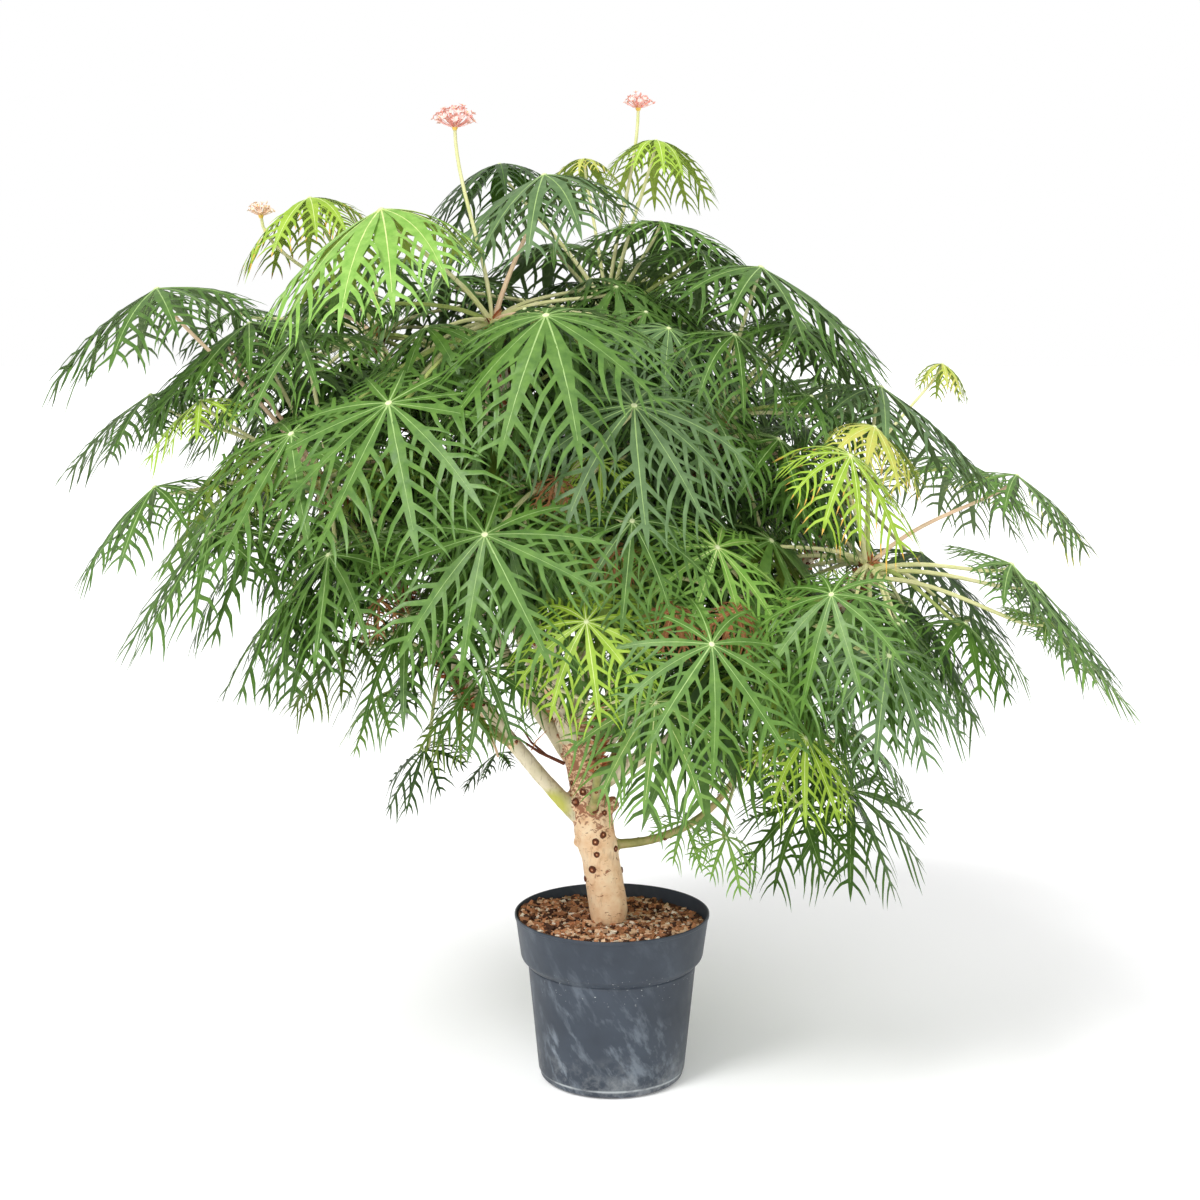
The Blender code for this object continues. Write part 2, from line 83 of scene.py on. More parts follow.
# Boughs
BOUGH_STEPS = 30
BOUGH_TAPER = 0.35
LEAVE_PULL, ARRIVE_PULL = 0.40, 0.35
STEM_LENGTH = 0.045
KNOTS = (0.16, 0.33, 0.52, 0.70, 0.86)  # where along each bough a low knot swells
KNOB_ROWS, KNOB_SIDES = 4, 8
BARK_VOXEL = 0.0023
CALM, CALM_ROUNDS = 0.5, 3
FURROW, FURROW_LONG, LUMP = 160, 38, 45  # the relief's grain per metre: furrows across and along, and lumps
RELIEF, RELIEF_LEAST, RELIEF_MOST = 0.05, 0.0002, 0.0011  # its depth beside the limb's radius, and the limits of that
TWIG_RADIUS = 0.0070  # limbs thinner than this are green twigs
BATCH = 4000
GREEN_RING = (-0.073, -0.012, 0.345)  # the young bark where the left bough leaves the trunk
SCAR_SIDES = 10
SCAR_RINGS = ((1.15, -0.35), (1.0, 0.16), (0.72, 0.24), (0.45, 0.02))  # share of the scar's radius, and rise
SCARS_PER_BOUGH = 7
SCALE_KINDS = ("scale_rust", "scale_rust", "scale_tan", "scale_dark", "scale_rust")

# Leaves
CUP = radians(12)
RIB_STEPS = 12
RIB_SHOWN = 11  # how many points of a lobe's midrib carry a raised rib
RIB_THICK = 0.0066
HUB_BOSS = 0.015
PETIOLE_RADIUS = 0.0024
PETIOLE_STEPS = 12
PEDUNCLE_RADIUS = 0.0021
PEDUNCLE_STEPS = 14
PEDICEL_RADIUS = 0.00055
CROWN_TOP, CROWN_LOW = 1.10, 0.70
LEAN_TOP, LEAN_LOW, LEAN_FRONT = 14.0, 10.0, 26.0
RING_FALL = 0.050
LOBE_VARIANTS = 7

# Each bough, and the older leaves inside its rosette, which the solids leave out: their first turn, how many stand
# round the shoot, and how many lower down on the limb
Bough = namedtuple("Bough", "carrier share bearing reach height radius leave arrive turn young old")
BOUGHS = {
    "front_left": Bough("trunk", 0.90, -150, 0.160, 0.930, 0.0105, 60, 75, 20, 15, 14),
    "left": Bough("trunk", 0.55, 187, 0.350, 0.745, 0.0100, 46, 52, 75, 19, 9),
    "upper_left": Bough("trunk", 0.84, 160, 0.310, 0.910, 0.0095, 48, 66, 40, 17, 9),
    "crown_top": Bough("trunk", 0.97, 92, 0.130, 0.940, 0.0110, 78, 80, 10, 18, 14),
    "front": Bough("front_left", 0.18, -118, 0.140, 0.740, 0.0085, 50, 75, 100, 12, 8),
    "upper_right": Bough("trunk", 0.90, -4, 0.125, 0.810, 0.0095, 62, 72, 60, 17, 12),
    "right": Bough("trunk", 0.74, -19, 0.310, 0.655, 0.0100, 40, 62, 150, 16, 7),
    "right_front": Bough("right", 0.42, -42, 0.225, 0.610, 0.0065, 30, 60, 30, 11, 5),
    "lower_right": Bough("trunk", 0.50, 4, 0.170, 0.405, 0.0065, -6, 58, 80, 4, 0),
    "front_low": Bough("trunk", 0.64, -96, 0.130, 0.490, 0.0065, 30, 65, -20, 1, 0),
    "lower_left": Bough("left", 0.28, -163, 0.215, 0.535, 0.0055, 20, 55, 200, 1, 0),
    "back_left": Bough("trunk", 0.78, 124, 0.360, 0.750, 0.0095, 42, 58, 15, 12, 5),
    "back": Bough("crown_top", 0.22, 80, 0.360, 0.790, 0.0085, 40, 60, 95, 12, 5),
    "back_right": Bough("trunk", 0.86, 36, 0.390, 0.710, 0.0095, 40, 55, 20, 12, 5),
    "back_low": Bough("trunk", 0.68, 76, 0.220, 0.510, 0.0065, 35, 60, 40, 6, 0),
}

# The leaves of each rosette that the photo shows: the hub's bearing, reach and height, the leaf's span, its tint, how
# far its lobes droop, its shortest lobe beside its longest, and the bearing and tilt it faces where these aren't usual
Leaf = namedtuple(
    "Leaf", "bearing reach height span tint droop shortest facing inner", defaults=("deep", 0.75, 0.68, None, False)
)
LEAVES = {
    "front_left": (
        (-150, 0.295, 1.055, 0.41, "bright", 1.3), (-159, 0.085, 1.100, 0.37, "grey", 1.1),
        (-106, 0.260, 0.940, 0.41, "mid"), (-128, 0.380, 0.850, 0.40, "mid", 0.28, 0.68, (-112, 36)),
        (-144, 0.425, 0.815, 0.38, "mid", 0.30, 0.70, (-128, 35)),
    ),
    "left": (
        (-175, 0.530, 0.970, 0.38), (178, 0.555, 0.845, 0.30), (-169, 0.535, 0.745, 0.31),
        (-164, 0.475, 0.695, 0.36), (-141, 0.395, 0.685, 0.32, "mid"), (180, 0.430, 0.930, 0.36),
        (-177, 0.452, 0.905, 0.30), (-161, 0.372, 0.916, 0.32, "mid"), (-168, 0.481, 0.844, 0.20, "lime", 0.9),
        (-142, 0.328, 0.629, 0.11, "dry", 1.1), (-163, 0.413, 0.770, 0.18, "olive", 1.0),
    ),
    "upper_left": (
        (168, 0.375, 1.080, 0.28, "lime_rust", 1.3), (146, 0.370, 1.010, 0.34), (151, 0.520, 0.850, 0.34),
    ),
    "crown_top": (
        (133, 0.205, 1.125, 0.30, "dark", 1.2), (100, 0.200, 1.135, 0.16, "gold", 1.2),
        (62, 0.115, 1.150, 0.24, "lime", 1.7), (107, 0.250, 1.030, 0.36, "mid"), (59, 0.116, 1.052, 0.32, "mid"),
        (50, 0.170, 1.020, 0.34), (154, 0.230, 0.985, 0.36), (75, 0.330, 0.960, 0.34),
    ),
    "front": (
        (-110, 0.385, 0.720, 0.33, "mid", 0.40, 0.74, (-97, 47)), (-95, 0.330, 0.625, 0.23, "lime"),
        (-85, 0.250, 0.845, 0.36, "grey"), (-140, 0.300, 0.610, 0.30), (-86, 0.280, 0.725, 0.26),
        (-107, 0.216, 0.764, 0.09, "dry", 1.1), (-89, 0.220, 0.685, 0.09, "dry", 1.1),
        (-94, 0.201, 0.781, 0.15, "lime", 1.0),
    ),
    "upper_right": (
        (-7, 0.175, 0.995, 0.42), (-58, 0.120, 0.925, 0.28, "grey"), (28, 0.262, 0.935, 0.30),
        (-28, 0.215, 0.800, 0.32), (-53, 0.163, 0.855, 0.30), (0, 0.222, 0.928, 0.30, "mid"),
        (-36, 0.171, 0.918, 0.30),
    ),
    "right": (
        (-22, 0.320, 0.815, 0.21, "gold", 1.2), (-41, 0.340, 0.790, 0.26, "lime_rust", 1.0),
        (0, 0.320, 0.855, 0.40, "grey"), (0, 0.485, 0.750, 0.28, "mid_rust"),
        (-24, 0.482, 0.668, 0.36, "mid", 0.30, 0.45, (-6, 34)), (-17, 0.500, 0.640, 0.33, "grey", 0.34, 0.40, (0, 34)),
        (-22, 0.521, 0.605, 0.33, "fresh", 0.18, 0.35, (0, 32)), (0, 0.362, 0.598, 0.38, "deep", 1.0, 0.55, (-8, 40)),
    ),
    "right_front": (
        (-63, 0.250, 0.690, 0.28, "bright"), (-74, 0.365, 0.605, 0.30, "mid", 0.50),
        (-53, 0.380, 0.650, 0.28, "mid", 0.70, 0.50, (-112, 44)),
        (-46, 0.419, 0.584, 0.28, "grey", 0.60, 0.60, (-58, 42)), (-44, 0.290, 0.540, 0.30),
        (-77, 0.288, 0.630, 0.12, "dry", 1.5), (-64, 0.301, 0.628, 0.12, "dry", 1.5),
    ),
    "lower_right": (
        (-50, 0.327, 0.484, 0.22, "lime", 1.0), (9, 0.305, 0.350, 0.32, "deep", 0.45, 0.75, (-55, 42)),
        (-5, 0.230, 0.349, 0.23, "deep", 0.45, 0.80, (-118, 42)), (-49, 0.130, 0.350, 0.13, "bright"),
        (-49, 0.200, 0.345, 0.14, "bright"), (-14, 0.300, 0.452, 0.24),
    ),
    "front_low": (
        (-80, 0.260, 0.525, 0.27, "fresh"), (-124, 0.252, 0.552, 0.22), (-62, 0.216, 0.492, 0.14, "fresh"),
    ),
    "lower_left": (
        (-171, 0.315, 0.560, 0.26, "olive"), (-163, 0.340, 0.605, 0.17, "dark"), (-151, 0.250, 0.441, 0.18, "dark"),
        (-143, 0.220, 0.500, 0.19, "olive"), (163, 0.150, 0.399, 0.14, "dark"),
    ),
    "back_right": ((34, 0.536, 0.874, 0.15, "gold", 2.4),),
}

# The made-up rosettes at the back: the first turn, the number of leaves, their reach, height and span
RINGS = {
    "back_left": (60, 6, 0.190, 0.13, 0.36),
    "back": (60, 6, 0.190, 0.13, 0.36),
    "back_right": (100, 5, 0.190, 0.14, 0.36),
    "back_low": (95, 3, 0.160, 0.03, 0.28),
}
RING_TINTS = ("mid", "deep", "mid", "deep", "dark", "bright")

# The older leaves inside each rosette
OPEN_UNDER = 0.54  # no leaf stands on the older wood below this height
OPENING = ((0.28, 0.50), (0.60, 0.80))  # across and up: the photo shows sky here, so no inner leaf hangs in it
INNER_REACH = (0.08, 0.19)
INNER_HEIGHT = (-0.10, 0.07)
INNER_SPAN = (0.20, 0.32)
INNER_TINTS = ("dark", "deep", "deep", "dark", "deep", "mid", "olive", "deep", "dark", "mid", "fresh")
LOW_TINTS = ("mid", "fresh", "deep", "olive", "mid", "dark", "fresh", "grey")
SMALL = ("lower_right", "front_low", "lower_left", "back_low")  # rosettes with smaller inner leaves
LOW = ("right_front", *SMALL)

# Tufts of dry, reddish-brown needles left by old leaves: where along the limb, half width and count
TUFTS = {
    "front": ((0.97, 0.022, 60), (0.70, 0.026, 60)),
    "front_left": ((0.10, 0.024, 80), (0.24, 0.026, 60), (0.36, 0.024, 50)),
    "left": ((0.64, 0.032, 120), (0.72, 0.026, 70)),
    "right_front": ((0.72, 0.030, 90), (0.88, 0.030, 100), (1.0, 0.032, 110)),
    "right": ((0.62, 0.036, 130), (0.74, 0.030, 100)),
    "upper_right": ((0.34, 0.036, 110), (0.52, 0.036, 110)),
    "lower_right": ((0.80, 0.014, 26),),
}

# Dead twigs by the fork, each as three points and its thickness at the start
TWIGS = (
    ((-0.058, -0.004, 0.397), (-0.088, -0.012, 0.413), (-0.118, -0.018, 0.435), 0.0024, "scale_dark"),
    ((-0.080, -0.010, 0.409), (-0.098, -0.014, 0.426), (-0.110, -0.020, 0.446), 0.0018, "scale_dark"),
    ((-0.098, -0.013, 0.416), (-0.092, -0.015, 0.428), (-0.079, -0.016, 0.441), 0.0010, "scale_tan"),
)

Flower = namedtuple("Flower", "bearing reach height width")
FLOWERS = {
    "front_left": Flower(-156, 0.195, 1.149, 0.046),
    "upper_left": Flower(169, 0.435, 1.059, 0.030),
    "crown_top": Flower(75, 0.125, 1.190, 0.034),
}

# Leaf scars on the trunk, as bearing, height and radius, and stubs of old shoots, with how far each stands out
SCARS = (
    (-92, 0.303, 0.0042), (-66, 0.314, 0.0040), (-95, 0.289, 0.0036), (-118, 0.268, 0.0046), (-160, 0.254, 0.0036),
    (-28, 0.292, 0.0036), (-75, 0.343, 0.0040), (-130, 0.352, 0.0048), (-100, 0.366, 0.0042), (10, 0.262, 0.0040),
    (48, 0.305, 0.0044), (92, 0.276, 0.0040), (130, 0.318, 0.0042), (70, 0.343, 0.0046), (155, 0.290, 0.0038),
    (20, 0.235, 0.0034), (110, 0.238, 0.0036), (-45, 0.340, 0.0034),
)
STUBS = (
    (178, 0.283, 0.0050, 0.011), (-4, 0.334, 0.0098, 0.012), (-150, 0.338, 0.0062, 0.008), (60, 0.330, 0.0070, 0.010),
)

# Each surface: its colour and the colour it varies to in screen values, the grain in metres, roughness, relief and,
# where it isn't the usual one, its specular level
FINISHES = {
    "leaf_deep": (57, 91, 29, 83, 119, 43, 0.012, 0.42, 0.25, 0.35),
    "leaf_mid": (68, 105, 36, 92, 129, 50, 0.012, 0.42, 0.25, 0.4),
    "leaf_dark": (40, 65, 24, 58, 85, 35, 0.012, 0.42, 0.25, 0.35),
    "leaf_bright": (108, 156, 56, 138, 180, 82, 0.012, 0.44, 0.25, 0.4),
    "leaf_lime": (128, 162, 36, 154, 184, 60, 0.012, 0.46, 0.25, 0.4),
    "leaf_fresh": (88, 132, 46, 116, 152, 66, 0.012, 0.44, 0.25, 0.4),
    "leaf_dry": (124, 78, 44, 160, 110, 68, 0.010, 0.80, 0.40),
    "leaf_gold": (162, 178, 66, 190, 184, 92, 0.012, 0.48, 0.25),
    "leaf_grey": (72, 101, 56, 94, 123, 74, 0.012, 0.44, 0.25, 0.4),
    "leaf_olive": (90, 116, 32, 116, 138, 46, 0.012, 0.44, 0.25, 0.4),
    "leaf_rust": (190, 148, 58, 208, 172, 82, 0.010, 0.60, 0.35),
    "under_green": (98, 124, 74, 122, 146, 94, 0.012, 0.60, 0.30),
    "under_lime": (156, 180, 70, 178, 198, 96, 0.012, 0.60, 0.30),
    "rib_green": (136, 168, 98, 160, 186, 120, 0.008, 0.50, 0.20),
    "rib_pale": (192, 210, 128, 208, 220, 150, 0.008, 0.48, 0.20),
    "hub": (222, 228, 184, 204, 216, 156, 0.006, 0.50, 0.20),
    "stalk_pale": (222, 218, 170, 206, 208, 140, 0.015, 0.44, 0.20),
    "stalk_green": (152, 170, 90, 176, 188, 108, 0.015, 0.44, 0.20),
    "stalk_pink": (224, 190, 158, 226, 200, 164, 0.015, 0.44, 0.20),
    "coral": (250, 206, 198, 244, 186, 176, 0.006, 0.50, 0.20),
    "coral_deep": (230, 146, 136, 236, 166, 152, 0.006, 0.50, 0.20),
    "coral_faded": (244, 214, 192, 236, 194, 168, 0.006, 0.55, 0.20),
    "stamen": (240, 206, 110, 230, 186, 84, 0.004, 0.60, 0.20),
    "scale_rust": (182, 108, 66, 148, 82, 50, 0.005, 0.85, 0.50),
    "scale_tan": (206, 154, 112, 184, 124, 84, 0.005, 0.85, 0.50),
    "scale_dark": (116, 66, 44, 88, 50, 34, 0.005, 0.85, 0.50),
    "chip_dark": (92, 58, 40, 62, 38, 28, 0.004, 0.90, 0.60),
    "chip_brown": (182, 126, 88, 146, 98, 66, 0.004, 0.90, 0.60),
    "chip_red": (216, 154, 112, 188, 124, 86, 0.004, 0.90, 0.60),
    "chip_tan": (236, 200, 166, 216, 172, 136, 0.004, 0.88, 0.60),
    "chip_pale": (246, 232, 214, 230, 210, 186, 0.004, 0.85, 0.50),
}
# A leaf's tint: its top, underside and ribs, and the dry ends of its teeth if it has them
TINTS = {tint: ("leaf_" + tint, "under_green", "rib_green", None) for tint in ("deep", "mid", "grey", "olive")}
TINTS |= {tint: ("leaf_" + tint, "under_lime", "rib_pale", None) for tint in ("bright", "lime")}
TINTS |= {
    "dark": ("leaf_dark", "leaf_deep", "leaf_mid", None),
    "lime_rust": ("leaf_lime", "under_lime", "rib_pale", "leaf_rust"),
    "gold": ("leaf_gold", "under_lime", "rib_pale", "leaf_rust"),
    "fresh": ("leaf_fresh", "under_green", "rib_pale", None),
    "dry": ("leaf_dry", "leaf_dry", "scale_tan", None),
    "mid_rust": ("leaf_mid", "under_green", "rib_green", "leaf_gold"),
}

# The studio: how bright the white room is beside its brightness in the picture, each sun's way, spread and power, and
# the camera
STUDIO_FILL = 0.62
FLOOR_HALF = 30.0
SUNS = {
    "key": ((0.50, 0.55, -0.80), 20, 2.35),
    "fill": ((-0.5, 0.4, -1.0), 40, 0.85),
    "front": ((0.1, 1.0, -0.25), 50, 0.95),
}
CAMERA_PLACE, CAMERA_PITCH = (-0.0145, -2.33, 0.947), 8.5
SENSOR, LENS = 36.0, 58.44


def srgb(*screen):
    """A linear colour from screen values of 0 to 255."""
    shares = [value / 255 for value in screen]
    return (*(share / 12.92 if share <= 0.04045 else ((share + 0.055) / 1.055) ** 2.4 for share in shares), 1.0)


class Nodes:
    """A short way to write a material's nodes. Colours are given in screen values."""

    def __init__(self, tree):
        self.tree = tree
        self.shader = tree.nodes.get("Principled BSDF")

    def fill(self, node, inputs):
        """Links each socket that is given one, and sets the others."""
        for key, value in inputs.items():
            if isinstance(value, bpy.types.NodeSocket):
                self.tree.links.new(value, node.inputs[key])
            else:
                node.inputs[key].default_value = value

    def add(self, kind, inputs=None, **settings):
        node = self.tree.nodes.new("ShaderNode" + kind)
        for key, value in settings.items():
            setattr(node, key, value)
        self.fill(node, inputs or {})
        return node

    def noise(self, place, scale, detail=3.0, roughness=0.55, **inputs):
        settings = {"Vector": place, "Scale": scale, "Detail": detail, "Roughness": roughness, **inputs}
        return self.add("TexNoise", settings).outputs["Fac"]

    def ramp(self, value, *stops):
        node = self.add("ValToRGB", {"Fac": value})
        parts = node.color_ramp.elements
        while len(parts) < len(stops):
            parts.new(0.5)
        for part, (place, colour) in zip(parts, stops):
            part.position = place
            part.color = colour
        return node.outputs["Color"]

    def tints(self, value, *stops):
        return self.ramp(value, *((place, srgb(*colour)) for place, *colour in stops))

    def step(self, value, low, high, start=0.0, end=1.0):
        return self.ramp(value, (low, (start, start, start, 1)), (high, (end, end, end, 1)))

    def mix(self, share, first, second):
        return self.add("Mix", {0: share, 6: first, 7: second}, data_type="RGBA").outputs[2]

    def over(self, colour, share, *screen):
        """The colour with another one laid over its share."""
        return self.mix(share, colour, srgb(*screen))

    def stretch(self, place, long, tilt=0):
        """The place drawn out along the Z axis once that is tilted to one side."""
        inputs = {"Vector": place, "Scale": (1, 1, long), "Rotation": (0, radians(tilt), 0)}
        return self.add("Mapping", inputs, vector_type="TEXTURE").outputs["Vector"]

    def span(self, value, low, high, start=0.0, end=1.0):
        settings = {"Value": value, "From Min": low, "From Max": high, "To Min": start, "To Max": end}
        return self.add("MapRange", settings).outputs["Result"]

    def times(self, *values):
        found = values[0]
        for value in values[1:]:
            found = self.add("Math", {0: found, 1: value}, operation="MULTIPLY").outputs[0]
        return found

    def young(self, place):
        """How far a place is from the ring of young, green bark."""
        return self.add("VectorMath", {0: place, 1: GREEN_RING}, operation="DISTANCE").outputs["Value"]

    def cover(self, colour, roughness, height, relief, depth, specular=0.5, **more):
        bump = self.add("Bump", {"Height": height, "Strength": relief, "Distance": depth}).outputs["Normal"]
        inputs = {"Base Color": colour, "Roughness": roughness, "Normal": bump, "Specular IOR Level": specular}
        self.fill(self.shader, {**inputs, **more})


def plain(nodes, place, red, green, blue, red_too, green_too, blue_too, grain, roughness, relief, specular=0.3):
    """A surface that varies from one colour to another, with a fine relief."""
    fine = nodes.noise(place, 5 / grain, detail=2.0)
    broad = nodes.noise(place, 1 / grain)
    colour = nodes.tints(broad, (0.32, red, green, blue), (0.68, red_too, green_too, blue_too))
    nodes.cover(colour, nodes.span(fine, 0, 1, roughness - 0.08, roughness + 0.10), fine, relief, 0.0006, specular)


def pot_plastic(nodes, place):
    """Slate plastic with chalky scuffs that run aslant, and a pale line of lime near the foot."""
    colour = nodes.tints(nodes.noise(place, 14, 4.0), (0.35, 41, 49, 60), (0.70, 54, 63, 75))
    streak = nodes.noise(nodes.stretch(place, 3.0, -32), 70, 4.0, 0.62)
    spot = nodes.add("SeparateXYZ", {"Vector": place}).outputs
    low = nodes.times(nodes.span(spot["Z"], 0.03, 0.155, 1.0, 0.25), nodes.span(spot["X"], -0.04, 0.09, 1.0, 0.45))
    where = nodes.step(nodes.noise(place, 13, 3.0), 0.40, 0.54)
    colour = nodes.over(colour, nodes.times(nodes.step(streak, 0.50, 0.66), where, low, 0.62), 142, 152, 162)
    haze = nodes.times(nodes.step(nodes.noise(place, 34, 5.0, 0.7), 0.46, 0.66), 0.55)
    colour = nodes.over(colour, nodes.times(haze, nodes.span(spot["Z"], 0.01, 0.06, 1.0, 0.0)), 150, 154, 156)
    line = nodes.times(nodes.span(spot["Z"], 0.0085, 0.0105), nodes.span(spot["Z"], 0.0110, 0.0128, 1.0, 0.0))
    broken = nodes.step(nodes.noise(place, 40, 3.0), 0.40, 0.56, 0.15, 0.85)
    colour = nodes.over(colour, nodes.times(line, broken), 186, 192, 194)
    speck = nodes.step(nodes.noise(place, 300, 1.0), 0.72, 0.78)
    under = nodes.times(nodes.span(spot["Z"], 0.120, 0.138), nodes.span(spot["Z"], 0.150, 0.160, 1.0, 0.0))
    colour = nodes.over(colour, nodes.times(speck, under), 196, 200, 200)
    rough = nodes.span(streak, 0, 1, 0.36, 0.62)
    nodes.cover(colour, rough, nodes.noise(place, 900, 2.0), 0.12, 0.0004, 0.45)


def trunk_bark(nodes, place):
    """Smooth tan bark with fine furrows along it, flaky and brown at the fork, green where the left bough starts."""
    furrow = nodes.noise(nodes.stretch(place, 4.5, 6), 150, 4.0, 0.6)
    patch = nodes.noise(place, 42, 5.0, 0.65)
    colour = nodes.tints(patch, (0.28, 208, 154, 112), (0.42, 240, 200, 156), (0.62, 250, 222, 184))
    colour = nodes.over(colour, nodes.step(furrow, 0.30, 0.42, 0.40, 0.0), 168, 122, 90)
    height = nodes.add("SeparateXYZ", {"Vector": place}).outputs["Z"]
    flake = nodes.noise(nodes.stretch(place, 0.7), 120, 5.0, 0.7, Distortion=0.8)
    flaky = nodes.times(nodes.span(height, 0.300, 0.345), nodes.span(height, 0.43, 0.50, 1.0, 0.0), 0.13)
    scar = nodes.add("Math", {0: flake, 1: flaky}, operation="ADD").outputs[0]
    colour = nodes.over(colour, nodes.step(scar, 0.60, 0.65, 0.0, 0.9), 150, 88, 56)
    ring = nodes.times(nodes.span(nodes.young(place), 0.012, 0.024, 1.0, 0.0), nodes.span(patch, 0.35, 0.5, 0.5, 1.0))
    colour = nodes.over(colour, ring, 190, 190, 70)
    nodes.cover(colour, nodes.span(furrow, 0, 1, 0.76, 0.56), nodes.mix(0.5, furrow, flake), 0.6, 0.0014)


def bough_bark(nodes, place):
    """Younger bark, cream and pale green with brown flecks, greener where the left bough starts."""
    patch = nodes.noise(place, 30, 4.0, 0.6)
    fleck = nodes.noise(nodes.stretch(place, 3.3), 240, 3.0, 0.6)
    colour = nodes.tints(patch, (0.32, 188, 180, 136), (0.48, 222, 210, 176), (0.68, 234, 222, 194))
    colour = nodes.over(colour, nodes.step(fleck, 0.34, 0.46, 0.45, 0.0), 140, 112, 76)
    colour = nodes.over(colour, nodes.span(nodes.young(place), 0.014, 0.026, 0.9, 0.0), 190, 190, 70)
    nodes.cover(colour, nodes.span(fleck, 0, 1, 0.72, 0.52), fleck, 0.45, 0.0010)


def twig_bark(nodes, place):
    """The thin green wood of the shoots."""
    patch = nodes.noise(place, 60, 4.0, 0.6)
    fleck = nodes.noise(place, 420, 2.0, 0.6)
    colour = nodes.tints(patch, (0.32, 124, 124, 66), (0.52, 160, 156, 92), (0.70, 184, 162, 114))
    nodes.cover(colour, nodes.span(fleck, 0, 1, 0.68, 0.50), fleck, 0.45, 0.0008)


def potting_mix(nodes, place):
    """The dark fine matter between the chips."""
    grain = nodes.noise(place, 300, 5.0, 0.7)
    colour = nodes.tints(grain, (0.35, 64, 40, 26), (0.55, 128, 84, 56), (0.75, 190, 138, 100))
    nodes.cover(colour, 0.95, grain, 0.9, 0.003)


def studio_floor(nodes, place):
    colour = nodes.step(nodes.noise(place, 1.5, 2.0), 0.3, 0.7, 0.90, 0.92)
    glow = {"Emission Color": (1, 1, 1, 1), "Emission Strength": 0.10}
    nodes.cover(colour, 0.9, nodes.noise(place, 300, 2.0), 0.02, 0.0002, 0.1, **glow)


PAINTERS = {
    paint.__name__: paint for paint in (pot_plastic, trunk_bark, bough_bark, twig_bark, potting_mix, studio_floor)
}


def surface(name):
    """The material of one kind of surface, made once."""
    made = bpy.data.materials.get(name)
    if made is None:
        made = bpy.data.materials.new(name)
        made.use_nodes = True
        nodes = Nodes(made.node_tree)
        place = nodes.add("TexCoord").outputs["Object"]
        PAINTERS.get(name, plain)(nodes, place, *FINISHES.get(name, ()))
    return made


class Piece:
    """Gathers many small forms as one mesh, with a material slot for each kind of surface."""

    def __init__(self, name):
        self.name = name
        self.kinds, self.points, self.faces, self.slots = [], [], [], []
        self.count = 0

    def add(self, points, groups):
        """groups: pairs of a surface kind and rows of point numbers."""
        self.points.append(np.asarray(points, dtype=float).reshape(-1, 3))
        for kind, rows in groups:
            if kind not in self.kinds:
                self.kinds.append(kind)
            self.faces += (np.asarray(rows) + self.count).tolist()
            self.slots += [self.kinds.index(kind)] * len(rows)
        self.count += len(self.points[-1])

    def finish(self, sharp=50.0, replaces=()):
        mesh = bpy.data.meshes.new(self.name)
        mesh.from_pydata(np.concatenate(self.points), [], self.faces)
        for kind in self.kinds:
            mesh.materials.append(surface(kind))
        mesh.polygons.foreach_set("material_index", np.array(self.slots, dtype=np.int32))
        mesh.shade_smooth()
        mesh.set_sharp_from_angle(angle=radians(sharp))
        settle(place_in_scene(self.name, mesh), replaces)


def place_in_scene(name, content):
    made = bpy.data.objects.new(name, content)
    bpy.context.scene.collection.objects.link(made)
    return made


def settle(piece, replaces=()):
    """What every piece of the plant says to the frame."""
    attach(piece, "root")
    if replaces:
        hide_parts(*replaces)


def polar(bearing, reach, height):
    angle = radians(bearing)
    return Vector((reach * cos(angle), reach * sin(angle), height))


def heading(bearing, rise):
    return polar(bearing, cos(radians(rise)), sin(radians(rise)))


def bearing_of(way):
    return degrees(atan2(way.y, way.x))


def bezier(a, b, c, d, steps):
    found = []
    for k in range(steps + 1):
        t = k / steps
        s = 1 - t
        found.append(a * s**3 + b * (3 * s * s * t) + c * (3 * s * t * t) + d * t**3)
    return found


def point_at(path, share):
    place = share * (len(path) - 1)
    k = min(int(place), len(path) - 2)
    return path[k].lerp(path[k + 1], place - k)


def circle(sides):
    return [(cos(2 * pi * j / sides), sin(2 * pi * j / sides)) for j in range(sides)]


def ring_faces(rows, sides, first, foot, top):
    """Quads between rings of points, the first point being number first, and fans to the points foot and top."""
    quads, caps = [], []
    for k in range(rows - 1):
        for j in range(sides):
            a, b = first + k * sides + j, first + k * sides + (j + 1) % sides
            quads.append((a, b, b + sides, a + sides))
    last = first + (rows - 1) * sides
    for j in range(sides):
        n = (j + 1) % sides
        caps += [(foot, first + n, first + j), (top, last + j, last + n)]
    return quads, caps


def tube(path, radii, sides):
    """Points, quads and caps of a closed tube along a path, whose rings turn with it without twisting."""
    points = []
    side = (path[1] - path[0]).normalized().orthogonal()
    for k, centre in enumerate(path):
        along = (path[min(k + 1, len(path) - 1)] - path[max(k - 1, 0)]).normalized()
        side = (side - along * side.dot(along)).normalized()
        other = along.cross(side)
        points += [centre + (side * across + other * up) * radii[k] for across, up in circle(sides)]
    count = len(points)
    return [*points, path[0], path[-1]], *ring_faces(len(path), sides, 0, count, count + 1)


def add_tube(piece, path, radii, sides, kind):
    points, quads, caps = tube(path, radii, sides)
    piece.add(points, [(kind, quads), (kind, caps)])


# Limbs


def trunk_path():
    foot = TRUNK_BASE + UP * TRUNK_FOOT
    low = foot.lerp(TRUNK_BEND, 0.6)
    high = TRUNK_BEND + (TRUNK_TOP - TRUNK_BEND) * 0.35
    return [TRUNK_BASE, *bezier(foot, low, high, TRUNK_TOP, 8)]


